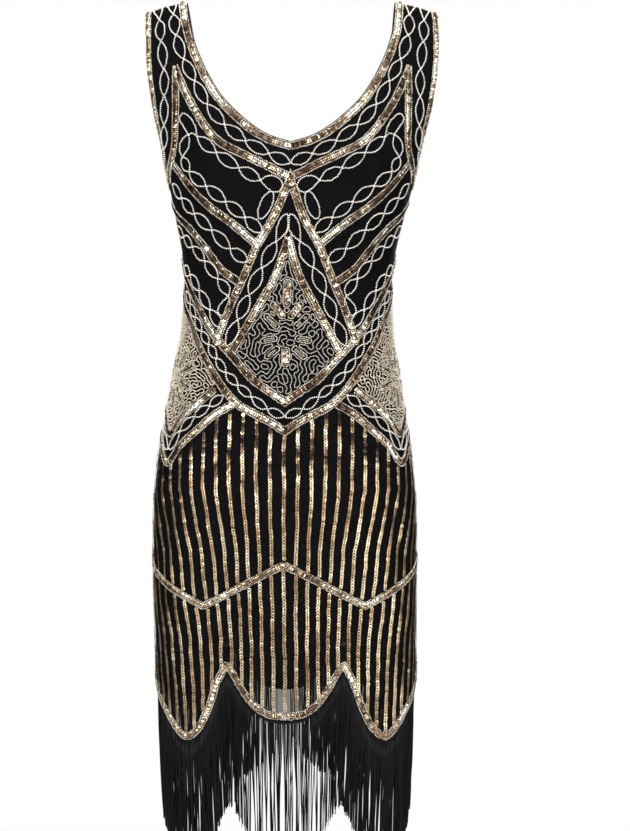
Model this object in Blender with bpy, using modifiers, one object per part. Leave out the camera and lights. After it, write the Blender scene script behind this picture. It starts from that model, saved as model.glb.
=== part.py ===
"""Sleeveless beaded flapper dress, worn on a general figure and hanging from its shoulders.

Metres, +Z up. The wearer's front faces -Y. The origin lies between the shoulders, level with the
inner ends of the shoulder seams. Each piece is laid out on developed cloth, in pairs of `along`, the
distance round the body from the centre line, and `up`, the distance up the cloth from the underarm.
`on_body` turns such a pair into a point of the front or of the back, on the half where x is positive.
The other half is its mirror image.
"""

import functools
import math
import random

import bmesh
import bpy
from mathutils import Vector

# The cut
UNDERARM_DROP = 0.239  # shoulder seam to the lowest point of the armhole
NECK_DROP = 0.193  # shoulder seam to the foot of the neckline
SHOULDER_FLAT = 0.120  # half of the width over which the shoulder line stays level
SHOULDER_SLOPE = 0.015  # how much lower the outer end of a shoulder seam lies
STRAP_OUTER = 0.188  # centre line to the outer end of a shoulder seam
ARMHOLE_BAY = 0.52  # how far forward the armhole's edge stands, as a share of the depth there
ARMHOLE_ROUND = 0.50  # share of the armhole's height over which its foot rounds off
HEM_EDGE = 0.0065  # from the middle of the hem's sequin band down to the net's cut edge
LINING_SHORTER = 0.040  # how much higher the lining's hem lies
LINING_EDGE = 0.0035  # how far the lining stays back from the neck and armhole edges

# Walls and the gaps between layers, from the net's outer face
NET_WALL = 0.0012
LINING_WALL = 0.0010
LINING_DEPTH = 0.0034  # to the lining's outer face
TRIM_WALL = 0.0010
TRIM_LIFT = 0.0006
TAPE_WALL = 0.0014
TAPE_DEPTH = 0.0021  # to the outer face of the fringe's tape
SEAM_GAP = 0.0007  # between outer faces at a seam; the inner edges close to about 0.3 mm

# Sequin bands and fringe
NECK_TRIM_WIDTH = 0.0115
ARM_TRIM_WIDTH = 0.0085
ARM_TRIM_NARROW = 0.0040  # its width under the arm
ARM_TRIM_EASE = 0.5  # share of the way up over which it widens
ZIGZAG_WIDTH = 0.0090
HEM_TRIM_WIDTH = 0.0085
TAPE_ABOVE_EDGE = 0.0050  # the tape's upper edge over the net's cut edge
TAPE_BELOW_EDGE = 0.0030
FRINGE_LENGTH = 0.163
FRINGE_UNEVEN = 0.006
FRINGE_SWAY = 0.0008  # how far a strand's tip may stand off from its even hang
FRINGE_DRAW = 0.045  # how much nearer the dress's middle the tips hang, as a share
FRINGE_TIP = 0.75  # a strand's width at the tip, as a share of its width at the root
STRANDS_PER_CELL = 4  # on each stretch of tape between two columns; 120 on a side

# Soft folds of the skirt, outwards at the middle of each scallop and inwards at its cusps
FOLD_DEPTH = 0.004
FOLD_TOP = -0.30  # on the cloth, where the folds begin
FOLD_FULL = -0.66  # and where they reach their full depth

# Sections of the body at the net's outer face. A section is a superellipse
ROUNDNESS = 2.2
SECTION_COLUMNS = ("height", "half_width", "front_depth", "back_depth", "lean")
SECTIONS = (
    (-0.239, 0.1580, 0.118, 0.104, 0.004),
    (-0.290, 0.1460, 0.116, 0.098, 0.002),
    (-0.335, 0.1370, 0.107, 0.091, 0.001),
    (-0.380, 0.1340, 0.100, 0.088, 0.000),
    (-0.425, 0.1365, 0.100, 0.092, -0.001),
    (-0.475, 0.1450, 0.104, 0.104, -0.002),
    (-0.535, 0.1550, 0.109, 0.119, -0.003),
    (-0.600, 0.1660, 0.112, 0.128, -0.004),
    (-0.660, 0.1710, 0.113, 0.129, -0.004),
    (-0.740, 0.1722, 0.114, 0.126, -0.004),
    (-0.830, 0.1718, 0.115, 0.122, -0.003),
    (-1.000, 0.1690, 0.116, 0.120, -0.001),
)
# Above the underarm, the half width that a section would have if no armhole were cut
REACH_COLUMNS = ("height", "half_width", "lean")
REACHES = (
    (-0.239, 0.1580, 0.004),
    (-0.187, 0.1810, 0.005),
    (-0.131, 0.2030, 0.006),
    (-0.064, 0.2120, 0.006),
    (0.000, 0.2145, 0.004),
)
# Half width of the neck opening
NECK_COLUMNS = ("height", "front", "back")
NECK = (
    (-0.193, 0.0000, 0.0000),
    (-0.186, 0.0236, 0.0250),
    (-0.174, 0.0448, 0.0480),
    (-0.152, 0.0705, 0.0740),
    (-0.133, 0.0880, 0.0922),
    (-0.110, 0.1022, 0.1065),
    (-0.088, 0.1130, 0.1168),
    (-0.064, 0.1222, 0.1248),
    (-0.037, 0.1291, 0.1300),
    (0.000, 0.1340, 0.1340),
)
# Middle line of the hem's sequin band, as (share, height): a share of 0 is the centre line and 1 the
# side seam. Each side has two scallops to a half, which meet in a cusp
CUSP_SHARE = 1 / 3
BACK_CUSP_SHARE = 2 / 3
FRONT_SCALLOPS = (
    (
        (0.00, -0.912),
        (0.08, -0.910),
        (0.16, -0.900),
        (0.24, -0.879),
        (0.30, -0.857),
        (CUSP_SHARE, -0.849),
    ),
    (
        (CUSP_SHARE, -0.849),
        (0.38, -0.869),
        (0.44, -0.907),
        (0.50, -0.932),
        (0.56, -0.941),
        (0.62, -0.931),
        (0.70, -0.910),
        (0.80, -0.889),
        (0.90, -0.870),
        (1.00, -0.857),
    ),
)
BACK_SCALLOPS = (
    (
        (0.00, -0.790),
        (0.06, -0.812),
        (0.14, -0.830),
        (0.25, -0.844),
        (0.34, -0.849),
        (0.45, -0.845),
        (0.56, -0.826),
        (BACK_CUSP_SHARE, -0.800),
    ),
    (
        (BACK_CUSP_SHARE, -0.800),
        (0.73, -0.828),
        (0.80, -0.852),
        (0.88, -0.864),
        (1.00, -0.857),
    ),
)
# Middle line of the sequin zigzag between hip and hem, as (share, height)
ZIGZAG = (
    (0.000, -0.723),
    (0.455, -0.776),
    (1.000, -0.715),
)

# Mesh density: columns of a half, in threes so that a hem's cusp falls on one, then rows beside the
# hem, the body, the chest and the strap
NET_GRID = (15, 5, 11, 4, 10)
LINING_GRID = (9, 4, 7, 2, 9)
HEM_ROWS_TOP = -0.43  # on the cloth; rows below it follow the hem, those above lie level
CHEST_EASE = 1.4  # chest rows crowd towards the underarm, where the armhole's edge turns
STRAP_CROWDING = 0.5
NECK_TRIM_CELLS = 18  # along a half of the neckline
NECK_TRIM_CROWDING = 0.8
ZIGZAG_CELLS = 8  # along each straight stretch
MITRE_LIMIT = 0.5  # the least cosine of half a bend that a band's corner is drawn out for
ARC_SAMPLES = 40
MERIDIAN_SAMPLES = 90
STEP = 0.0015  # for slopes of the surface
UNDERSIDE_SLOPE = -0.2  # a face of the tape whose normal dips further than this is its underside

FRONT, BACK = -1, 1


def curve_through(rows, x_column, y_column, x):
    """A smooth curve through two columns of a table, which never overshoots its points."""
    points = sorted((row[x_column], row[y_column]) for row in rows)
    xs, ys = zip(*points)
    x = min(max(x, xs[0]), xs[-1])
    slopes = [(ys[i + 1] - ys[i]) / (xs[i + 1] - xs[i]) for i in range(len(xs) - 1)]

    def tangent(i):
        if i == 0:
            return slopes[0]
        if i == len(slopes):
            return slopes[-1]
        before, after = slopes[i - 1], slopes[i]
        return 0.0 if before * after <= 0 else 2 * before * after / (before + after)

    i = next(k for k in range(len(slopes)) if x <= xs[k + 1])
    width = xs[i + 1] - xs[i]
    t = (x - xs[i]) / width
    return (
        (1 + 2 * t) * (1 - t) ** 2 * ys[i]
        + t * (1 - t) ** 2 * width * tangent(i)
        + t * t * (3 - 2 * t) * ys[i + 1]
        + t * t * (t - 1) * width * tangent(i + 1)
    )


def section(column, height):
    return curve_through(SECTIONS, 0, SECTION_COLUMNS.index(column), height)


def reach(column, height):
    return curve_through(REACHES, 0, REACH_COLUMNS.index(column), height)


def lean_at(height):
    """How far the figure's centre line stands to one side."""
    return section("lean", height) if height < -UNDERARM_DROP else reach("lean", height)


@functools.cache
def chest_depth(side):
    return section("front_depth" if side == FRONT else "back_depth", -UNDERARM_DROP)


@functools.cache
def meridian(side):
    """Above the underarm the cloth climbs a quarter ellipse: the arc's length at each step of angle."""
    step = math.pi / 2 / MERIDIAN_SAMPLES
    lengths = [0.0]
    for i in range(MERIDIAN_SAMPLES):
        middle = (i + 0.5) * step
        piece = step * math.hypot(UNDERARM_DROP * math.cos(middle), chest_depth(side) * math.sin(middle))
        lengths.append(lengths[-1] + piece)
    return lengths


def shoulder_up(side):
    """Length up the cloth from the underarm to the shoulder seam."""
    return meridian(side)[-1]


def rise_angle(side, up):
    lengths = meridian(side)
    i = next(k for k in range(MERIDIAN_SAMPLES) if up <= lengths[k + 1] + 1e-9)
    share = (up - lengths[i]) / (lengths[i + 1] - lengths[i])
    return math.pi / 2 / MERIDIAN_SAMPLES * (i + share)


def up_at_height(side, height):
    """Length up the cloth to a height, on the centre line."""
    if height <= -UNDERARM_DROP:
        return height + UNDERARM_DROP
    steps = math.asin(1 + height / UNDERARM_DROP) / (math.pi / 2) * MERIDIAN_SAMPLES
    i = min(int(steps), MERIDIAN_SAMPLES - 1)
    lengths = meridian(side)
    return lengths[i] + (steps - i) * (lengths[i + 1] - lengths[i])


def shoulder_line(x):
    """Height of the shoulder seam at a distance from the centre line."""
    out = max(0.0, x - SHOULDER_FLAT) / (STRAP_OUTER - SHOULDER_FLAT)
    return -SHOULDER_SLOPE * out * out


def fold(share, up):
    """How far the skirt's soft folds move the cloth outwards."""
    fall = min(1.0, max(0.0, (FOLD_TOP - up) / (FOLD_TOP - FOLD_FULL)))
    return FOLD_DEPTH * fall * fall * (3 - 2 * fall) * math.cos(math.pi * share / CUSP_SHARE)


class Level:
    """The section of the front or back at one distance up the cloth."""

    def __init__(self, side, up):
        self.side, self.up = side, up
        if up <= 0:
            self.height = up - UNDERARM_DROP
            self.rise = 0.0
            self.half_width = section("half_width", self.height)
            self.depth = section("front_depth" if side == FRONT else "back_depth", self.height)
        else:
            angle = rise_angle(side, up)
            self.rise = math.sin(angle)
            self.height = UNDERARM_DROP * (self.rise - 1)
            self.half_width = reach("half_width", self.height)
            self.depth = chest_depth(side) * math.cos(angle)
        self.turns = [math.pi / 2 * i / ARC_SAMPLES for i in range(ARC_SAMPLES + 1)]
        corners = [self.outline(turn) for turn in self.turns]
        self.arcs = [0.0]
        for last, here in zip(corners, corners[1:]):
            self.arcs.append(self.arcs[-1] + math.dist(last, here))
        self.quarter = self.arcs[-1]

    def outline(self, turn):
        power = 2 / ROUNDNESS
        return self.half_width * math.sin(turn) ** power, self.depth * max(0.0, math.cos(turn)) ** power

    def along_at_width(self, x):
        """Distance round the cloth from the centre line to a point `x` from it."""
        turn = math.asin(min(1.0, x / self.half_width) ** (ROUNDNESS / 2))
        i = min(int(turn / (math.pi / 2) * ARC_SAMPLES), ARC_SAMPLES - 1)
        share = (turn - self.turns[i]) / (self.turns[i + 1] - self.turns[i])
        return self.arcs[i] + share * (self.arcs[i + 1] - self.arcs[i])

    def point(self, along):
        along = min(max(along, 0.0), self.quarter)
        i = next(k for k in range(ARC_SAMPLES) if along <= self.arcs[k + 1] + 1e-9)
        share = (along - self.arcs[i]) / (self.arcs[i + 1] - self.arcs[i])
        x, y = self.outline(self.turns[i] + share * (self.turns[i + 1] - self.turns[i]))
        swell = 1 + fold(along / self.quarter, self.up) / math.hypot(x, y)
        height = self.height + self.rise * shoulder_line(x)
        return Vector((x * swell, self.side * (y * swell + SEAM_GAP / 2), height))


@functools.cache
def level_at(side, up):
    return Level(side, up)


def on_body(side, along, up, lift=0.0):
    """A point that lies `lift` outside the net's outer face."""
    level, top = level_at(side, up), shoulder_up(side)
    point = level.point(along)
    if lift == 0:
        return point
    across = level.point(along + STEP) - level.point(along - STEP)
    upwards = level_at(side, min(up + STEP, top)).point(along) - level_at(side, up - STEP).point(along)
    normal = across.cross(upwards) * -side
    if along < STEP:
        normal.x = 0
    if along > level.quarter - STEP or up > top - STEP:
        normal.y = 0
    return point + normal.normalized() * lift


def hem_height(side, share):
    inner, outer = FRONT_SCALLOPS if side == FRONT else BACK_SCALLOPS
    return curve_through(inner if share <= inner[-1][0] else outer, 0, 1, share)


def cloth_edges(level):
    """Where the cloth starts and ends on a level, as distances round from the centre line."""
    if level.rise == 0:
        return 0.0, level.quarter
    inner = 0.0
    if level.height > -NECK_DROP + 1e-6:
        column = NECK_COLUMNS.index("front" if level.side == FRONT else "back")
        inner = level.along_at_width(curve_through(NECK, 0, column, level.height))
    climb = min(1.0, level.rise / ARMHOLE_ROUND)
    bay = ARMHOLE_BAY * math.sqrt(1 - (1 - climb) ** 2)
    return inner, level.along_at_width(level.half_width * (1 - bay**ROUNDNESS) ** (1 / ROUNDNESS))


def crowded(i, count, pull):
    """Shares from 0 to 1 that lie closer together towards both ends, the more so the larger `pull`."""
    return (1 - pull) * i / count + pull * (1 - math.cos(math.pi * i / count)) / 2


def level_rows(side, grid):
    """The level rows of a body piece: distances up the cloth, to the shoulder seam."""
    _, _, body_rows, chest_rows, strap_rows = grid
    foot, top = up_at_height(side, -NECK_DROP), shoulder_up(side)
    body = [HEM_ROWS_TOP * (1 - i / body_rows) for i in range(body_rows)]
    chest = [foot * (i / chest_rows) ** CHEST_EASE for i in range(chest_rows)]
    strap = [foot + (top - foot) * crowded(i, strap_rows, STRAP_CROWDING) for i in range(strap_rows + 1)]
    return body + chest + strap


def body_layout(side, grid, hem_rise, edge_inset):
    """A net or lining half as rows of (along, up), from the hem to the shoulder seam."""
    columns, hem_rows = grid[:2]
    rows = []
    for r in range(hem_rows):
        row = []
        for c in range(columns + 1):
            bottom = hem_height(side, c / columns) + UNDERARM_DROP - HEM_EDGE + hem_rise
            up = bottom + (HEM_ROWS_TOP - bottom) * r / hem_rows
            row.append((level_at(side, up).quarter * c / columns, up))
        rows.append(row)
    for up in level_rows(side, grid):
        level = level_at(side, up)
        inner, outer = cloth_edges(level)
        inner += edge_inset if inner > 0 else 0
        outer -= edge_inset if outer < level.quarter - edge_inset else 0
        rows.append([(inner + (outer - inner) * c / columns, up) for c in range(columns + 1)])
    return rows


def band_layout(path, low, high, start_on_fold, end_on_fold):
    """A band along a path of (along, up): its edges lie `low` and `high` to the path's left.

    Where the path starts or ends on a fold line of the cut, which is a mirror line, the band's end
    is square to that line; elsewhere it follows the seam that the path ends on.
    """
    steps = []
    for (a, b), (c, d) in zip(path, path[1:]):
        length = math.hypot(c - a, d - b)
        steps.append(((b - d) / length, (c - a) / length))
    rows = [[], []]
    for i, (along, up) in enumerate(path):
        before, after = steps[max(i - 1, 0)], steps[min(i, len(steps) - 1)]
        if i == 0 and start_on_fold:
            before = (-after[0], after[1])
        if i == len(steps) and end_on_fold:
            after = (-before[0], before[1])
        mean = Vector((before[0] + after[0], before[1] + after[1])).normalized()
        if i == len(steps) and not end_on_fold:
            mean = Vector((math.copysign(1, before[0]), 0))
        mitre = mean / max(MITRE_LIMIT, mean.dot(Vector(before)))
        for row, offset in zip(rows, (low, high)):
            reach_out = offset(i / len(steps)) if callable(offset) else offset
            row.append((along + mitre.x * reach_out, up + mitre.y * reach_out))
    return rows


def points_of(side, layout, lift):
    return [[on_body(side, along, up, lift) for along, up in row] for row in layout]


def sheet_from(points, mirrored):
    """A grid of faces over rows of points, with its mirror image where only a half is given."""
    sheet = bmesh.new()
    rows, columns = len(points), len(points[0])
    bmesh.ops.create_grid(sheet, x_segments=columns - 1, y_segments=rows - 1, size=1)
    sheet.verts.ensure_lookup_table()
    for vert, place in zip(sheet.verts, (point for row in points for point in row)):
        vert.co = place
    if mirrored:
        half = sheet.verts[:] + sheet.edges[:] + sheet.faces[:]
        bmesh.ops.mirror(sheet, geom=half, merge_dist=1e-5, axis="X")
    bmesh.ops.recalc_face_normals(sheet, faces=sheet.faces)
    sheet.faces.ensure_lookup_table()
    face = max(sheet.faces, key=lambda f: abs(f.calc_center_median().y))
    if face.normal.y * face.calc_center_median().y < 0:
        bmesh.ops.reverse_faces(sheet, faces=sheet.faces)
    return sheet


def add_object(name, sheet, finish, collection):
    """Leans a finished sheet or solid with the figure and makes it an object."""
    for vert in sheet.verts:
        vert.co.x += lean_at(vert.co.z)
    mesh = bpy.data.meshes.new(name)
    sheet.to_mesh(mesh)
    sheet.free()
    mesh.materials.append(finish)
    made = bpy.data.objects.new(name, mesh)
    collection.objects.link(made)
    return made


def add_cloth(name, sheet, wall, outwards, finish, collection):
    """Gives a sheet its wall, outwards or inwards from the sheet itself."""
    made = add_object(name, sheet, finish, collection)
    solid = made.modifiers.new("wall", "SOLIDIFY")
    solid.thickness = wall
    solid.offset = 1 if outwards else -1
    solid.use_even_offset = True
    return made


def name_of(side):
    return "front" if side == FRONT else "back"


def build_panels(side, net, satin, collection):
    layout = body_layout(side, NET_GRID, 0.0, 0.0)
    sheet = sheet_from(points_of(side, layout, 0.0), mirrored=True)
    add_cloth(f"{name_of(side)}_panel", sheet, NET_WALL, False, net, collection)
    layout = body_layout(side, LINING_GRID, LINING_SHORTER, LINING_EDGE)
    sheet = sheet_from(points_of(side, layout, -LINING_DEPTH), mirrored=True)
    add_cloth(f"{name_of(side)}_lining", sheet, LINING_WALL, False, satin, collection)


def build_neck_trim(side, sequins, collection):
    """From the foot of the neckline up to the shoulder seam, just inside the cut edge."""
    foot, top = up_at_height(side, -NECK_DROP), shoulder_up(side)
    path = [(0.0, foot)]
    for i in range(1, NECK_TRIM_CELLS + 1):
        up = foot + (top - foot) * crowded(i, NECK_TRIM_CELLS, NECK_TRIM_CROWDING)
        path.append((cloth_edges(level_at(side, up))[0], up))
    layout = band_layout(path, -NECK_TRIM_WIDTH, 0.0, True, False)
    sheet = sheet_from(points_of(side, layout, TRIM_LIFT), mirrored=True)
    add_cloth(f"neck_trim_{name_of(side)}", sheet, TRIM_WALL, True, sequins, collection)


def arm_trim_width(share):
    """Narrows from the chest down to the underarm; a share of 0 is the underarm."""
    ease = min(1.0, share / ARM_TRIM_EASE)
    return ARM_TRIM_NARROW + (ARM_TRIM_WIDTH - ARM_TRIM_NARROW) * ease * ease * (3 - 2 * ease)


def build_arm_trims(sequins, collection):
    """One band round each armhole: up the front and, past the underarm, up the back."""
    halves = []
    for side in (FRONT, BACK):
        rows = [up for up in level_rows(side, NET_GRID) if up > -1e-9]
        path = [(cloth_edges(level_at(side, max(up, 0.0)))[1], max(up, 0.0)) for up in rows]
        layout = band_layout(path, 0.0, arm_trim_width, True, False)
        halves.append(points_of(side, layout, TRIM_LIFT))
    front, back = halves
    for row in range(2):
        front[row][0].y = 0
        front[row] = front[row][:0:-1] + [front[row][0]] + back[row][1:]
    for name, mirror in (("armhole_trim_left", 1), ("armhole_trim_right", -1)):
        points = [[Vector((p.x * mirror, p.y, p.z)) for p in row] for row in front]
        sheet = sheet_from(points, mirrored=False)
        add_cloth(name, sheet, TRIM_WALL, True, sequins, collection)


def build_zigzag(side, sequins, collection):
    path = []
    for (share, height), (next_share, next_height) in zip(ZIGZAG, ZIGZAG[1:]):
        for i in range(ZIGZAG_CELLS):
            t = i / ZIGZAG_CELLS
            path.append((share + (next_share - share) * t, height + (next_height - height) * t))
    path.append(ZIGZAG[-1])
    path = [(up_at_height(side, height), share) for share, height in path]
    path = [(level_at(side, up).quarter * share, up) for up, share in path]
    layout = band_layout(path, -ZIGZAG_WIDTH / 2, ZIGZAG_WIDTH / 2, True, True)
    sheet = sheet_from(points_of(side, layout, TRIM_LIFT), mirrored=True)
    add_cloth(f"zigzag_band_{name_of(side)}", sheet, TRIM_WALL, True, sequins, collection)


def build_hem_trim(side, sequins, collection):
    columns = NET_GRID[0]
    path = []
    for c in range(columns + 1):
        up = hem_height(side, c / columns) + UNDERARM_DROP
        path.append((level_at(side, up).quarter * c / columns, up))
    layout = band_layout(path, -HEM_TRIM_WIDTH / 2, HEM_TRIM_WIDTH / 2, True, True)
    sheet = sheet_from(points_of(side, layout, TRIM_LIFT), mirrored=True)
    add_cloth(f"hem_band_{name_of(side)}", sheet, TRIM_WALL, True, sequins, collection)


def build_fringe(side, rayon, collection, chance):
    """A narrow tape behind the hem's edge, and the strands that grow from its lower face."""
    columns = NET_GRID[0]
    rows = [[], []]
    for c in range(columns + 1):
        edge = hem_height(side, c / columns) + UNDERARM_DROP - HEM_EDGE
        for row, up in zip(rows, (edge - TAPE_BELOW_EDGE, edge + TAPE_ABOVE_EDGE)):
            row.append((level_at(side, up).quarter * c / columns, up))
    tape = sheet_from(points_of(side, rows, -TAPE_DEPTH), mirrored=True)
    bmesh.ops.solidify(tape, geom=tape.faces[:], thickness=TAPE_WALL)
    bmesh.ops.recalc_face_normals(tape, faces=tape.faces)
    undersides = [face for face in tape.faces if face.normal.z < UNDERSIDE_SLOPE]
    lengthwise = {max(face.edges, key=lambda e: e.calc_length()) for face in undersides}
    lengthwise |= {
        max((e for e in face.edges if e not in lengthwise), key=lambda e: e.calc_length())
        for face in undersides
    }
    cuts = 2 * STRANDS_PER_CELL - 1
    bmesh.ops.subdivide_edges(tape, edges=list(lengthwise), cuts=cuts, use_grid_fill=True)
    undersides = [face for face in tape.faces if face.normal.z < UNDERSIDE_SLOPE]
    undersides.sort(key=lambda face: face.calc_center_median().x)
    roots = bmesh.ops.extrude_discrete_faces(tape, faces=undersides[::2])["faces"]
    for root in roots:
        centre = root.calc_center_median()
        tip = Vector((chance.uniform(-1, 1), chance.uniform(-1, 1), 0)) * FRINGE_SWAY - centre * FRINGE_DRAW
        tip.z = -FRINGE_LENGTH + chance.uniform(-1, 1) * FRINGE_UNEVEN
        for vert in root.verts:
            vert.co = centre + (vert.co - centre) * FRINGE_TIP + tip
    return add_object(f"fringe_{name_of(side)}", tape, rayon, collection)


def material(name, colour, roughness, metallic):
    made = bpy.data.materials.new(name)
    made.use_nodes = True
    shader = made.node_tree.nodes["Principled BSDF"]
    shader.inputs["Base Color"].default_value = (*colour, 1)
    shader.inputs["Roughness"].default_value = roughness
    shader.inputs["Metallic"].default_value = metallic
    return made


def main():
    for old in list(bpy.data.objects):
        bpy.data.objects.remove(old)
    dress = bpy.data.collections.new("flapper_dress")
    bpy.context.scene.collection.children.link(dress)
    net = material("black_net", (0.012, 0.012, 0.015), 0.75, 0.0)
    satin = material("black_lining", (0.006, 0.006, 0.008), 0.45, 0.0)
    rayon = material("black_fringe", (0.008, 0.008, 0.010), 0.35, 0.0)
    sequins = material("gold_sequins", (0.62, 0.38, 0.20), 0.28, 0.9)
    chance = random.Random(1925)
    for side in (FRONT, BACK):
        build_panels(side, net, satin, dress)
        build_neck_trim(side, sequins, dress)
        build_zigzag(side, sequins, dress)
        build_hem_trim(side, sequins, dress)
        build_fringe(side, rayon, dress, chance)
    build_arm_trims(sequins, dress)


main()
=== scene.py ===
import math

import bmesh
import bpy
import numpy as np
from mathutils import Matrix, Vector


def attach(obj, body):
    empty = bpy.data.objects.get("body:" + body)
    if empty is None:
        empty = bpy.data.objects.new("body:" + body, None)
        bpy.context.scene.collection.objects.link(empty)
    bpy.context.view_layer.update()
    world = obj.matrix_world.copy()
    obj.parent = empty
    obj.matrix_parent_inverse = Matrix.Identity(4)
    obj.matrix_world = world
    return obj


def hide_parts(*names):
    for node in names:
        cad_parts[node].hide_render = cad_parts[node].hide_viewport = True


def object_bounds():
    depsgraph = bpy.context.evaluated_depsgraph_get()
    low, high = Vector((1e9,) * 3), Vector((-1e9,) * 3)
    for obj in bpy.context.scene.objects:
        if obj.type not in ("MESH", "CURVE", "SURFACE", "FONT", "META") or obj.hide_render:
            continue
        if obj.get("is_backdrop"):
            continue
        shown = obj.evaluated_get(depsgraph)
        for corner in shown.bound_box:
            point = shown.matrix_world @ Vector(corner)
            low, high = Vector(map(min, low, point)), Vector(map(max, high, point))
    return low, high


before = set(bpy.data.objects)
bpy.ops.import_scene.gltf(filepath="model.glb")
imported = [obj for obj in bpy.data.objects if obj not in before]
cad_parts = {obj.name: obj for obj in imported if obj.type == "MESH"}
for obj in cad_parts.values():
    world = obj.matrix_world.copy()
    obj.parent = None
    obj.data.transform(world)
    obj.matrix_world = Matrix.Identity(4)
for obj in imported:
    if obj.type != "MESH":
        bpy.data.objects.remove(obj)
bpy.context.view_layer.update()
chance = np.random.default_rng(1925)
print("frame loaded:", len(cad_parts), "nodes")

# The cut, in metres, as in the part's source. `along` is the distance round the cloth from its centre
# line and `up` the distance up the cloth from the underarm.
cut = {
    "underarmDrop": 0.239,
    "neckDrop": 0.193,
    "shoulderFlat": 0.120,
    "shoulderSlope": 0.015,
    "strapOuter": 0.188,
    "armholeBay": 0.52,
    "armholeRound": 0.50,
    "roundness": 2.2,  # power of the superellipse of a section
    "seamGap": 0.0007,
    "hemEdge": 0.0065,
    "foldDepth": 0.004,
    "foldTop": -0.30,
    "foldFull": -0.66,
    "frontCusp": 1 / 3,
    "backCusp": 2 / 3,
}
sectionTable = np.array([
    # height, half width, front depth, back depth, lean
    (-0.239, 0.1580, 0.118, 0.104, 0.004),
    (-0.290, 0.1460, 0.116, 0.098, 0.002),
    (-0.335, 0.1370, 0.107, 0.091, 0.001),
    (-0.380, 0.1340, 0.100, 0.088, 0.000),
    (-0.425, 0.1365, 0.100, 0.092, -0.001),
    (-0.475, 0.1450, 0.104, 0.104, -0.002),
    (-0.535, 0.1550, 0.109, 0.119, -0.003),
    (-0.600, 0.1660, 0.112, 0.128, -0.004),
    (-0.660, 0.1710, 0.113, 0.129, -0.004),
    (-0.740, 0.1722, 0.114, 0.126, -0.004),
    (-0.830, 0.1718, 0.115, 0.122, -0.003),
    (-1.000, 0.1690, 0.116, 0.120, -0.001),
])
reachTable = np.array([
    # height, half width, lean, above the underarm
    (-0.239, 0.1580, 0.004),
    (-0.187, 0.1810, 0.005),
    (-0.131, 0.2030, 0.006),
    (-0.064, 0.2120, 0.006),
    (0.000, 0.2145, 0.004),
])
neckTable = np.array([
    # height, half width in front, half width behind
    (-0.193, 0.0000, 0.0000),
    (-0.186, 0.0236, 0.0250),
    (-0.174, 0.0448, 0.0480),
    (-0.152, 0.0705, 0.0740),
    (-0.133, 0.0880, 0.0922),
    (-0.110, 0.1022, 0.1065),
    (-0.088, 0.1130, 0.1168),
    (-0.064, 0.1222, 0.1248),
    (-0.037, 0.1291, 0.1300),
    (0.000, 0.1340, 0.1340),
])
scallops = {
    # share of the way to the side seam and height, on either side of the cusp
    "front": (
        [(0.00, -0.912), (0.08, -0.910), (0.16, -0.900), (0.24, -0.879), (0.30, -0.857), (1 / 3, -0.849)],
        [(1 / 3, -0.849), (0.38, -0.869), (0.44, -0.907), (0.50, -0.932), (0.56, -0.941), (0.62, -0.931),
         (0.70, -0.910), (0.80, -0.889), (0.90, -0.870), (1.00, -0.857)],
    ),
    "back": (
        [(0.00, -0.790), (0.06, -0.812), (0.14, -0.830), (0.25, -0.844), (0.34, -0.849), (0.45, -0.845),
         (0.56, -0.826), (2 / 3, -0.800)],
        [(2 / 3, -0.800), (0.73, -0.828), (0.80, -0.852), (0.88, -0.864), (1.00, -0.857)],
    ),
}
zigzag = np.array([
    (0.000, -0.723), (0.455, -0.776), (1.000, -0.715),
])
# Soft creases: middle (along, up), direction in degrees, length, half width and depth, in millimetres
creases = {
    "front": [
        (-160, -430, 80, 130, 10, 1.5), (151, -445, 98, 110, 9, 1.3), (-62, -520, 88, 160, 14, 1.2),
        (48, -500, 93, 140, 12, 1.0), (-128, -94, 24, 56, 8, 1.1), (138, -88, 156, 48, 7, 1.0),
        (-106, -575, 86, 120, 11, 0.9), (113, -588, 94, 100, 12, 1.1),
    ],
    "back": [
        (-148, -420, 82, 120, 11, 1.4), (158, -434, 99, 128, 10, 1.2), (-40, -455, 91, 150, 13, 1.1),
        (70, -480, 87, 130, 12, 1.2), (-120, -70, 18, 62, 9, 1.2), (118, -82, 163, 54, 8, 1.1),
        (30, -104, 4, 70, 9, 0.8),
    ],
}


def unit(vectors):
    return vectors / np.maximum(np.linalg.norm(vectors, axis=-1, keepdims=True), 1e-12)


def smoothStep(value):
    value = np.clip(value, 0, 1)
    return value * value * (3 - 2 * value)


def runOf(points):
    # distance run at each point of a line
    return np.concatenate(([0], np.cumsum(np.linalg.norm(np.diff(points, axis=0), axis=1))))


def cubic(t, width, start, end, slopeIn, slopeOut):
    # the smooth stretch between two points with given slopes
    return (
        (1 + 2 * t) * (1 - t) ** 2 * start
        + t * (1 - t) ** 2 * width * slopeIn
        + t * t * (3 - 2 * t) * end
        + t * t * (t - 1) * width * slopeOut
    )


def atRun(line, marks, stops):
    # points of a line at given distances along it
    return np.stack([np.interp(stops, marks, line[:, k]) for k in range(2)], axis=1)


def curveThrough(table, x, column=1):
    # a smooth curve through two columns of a table, which never overshoots its points
    table = np.asarray(table)
    order = np.argsort(table[:, 0])
    xs, ys = table[order, 0], table[order, column]
    slopes = np.diff(ys) / np.diff(xs)
    before, after = slopes[:-1], slopes[1:]
    same = before * after > 0
    middle = np.where(same, 2 * before * after / np.where(same, before + after, 1), 0)
    tangents = np.concatenate((slopes[:1], middle, slopes[-1:]))
    x = np.clip(x, xs[0], xs[-1])
    i = np.clip(np.searchsorted(xs, x) - 1, 0, len(slopes) - 1)
    width = xs[i + 1] - xs[i]
    return cubic((x - xs[i]) / width, width, ys[i], ys[i + 1], tangents[i], tangents[i + 1])


def leanAt(height):
    below = curveThrough(sectionTable, height, 4)
    return np.where(height < -cut["underarmDrop"], below, curveThrough(reachTable, height, 2))


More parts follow.
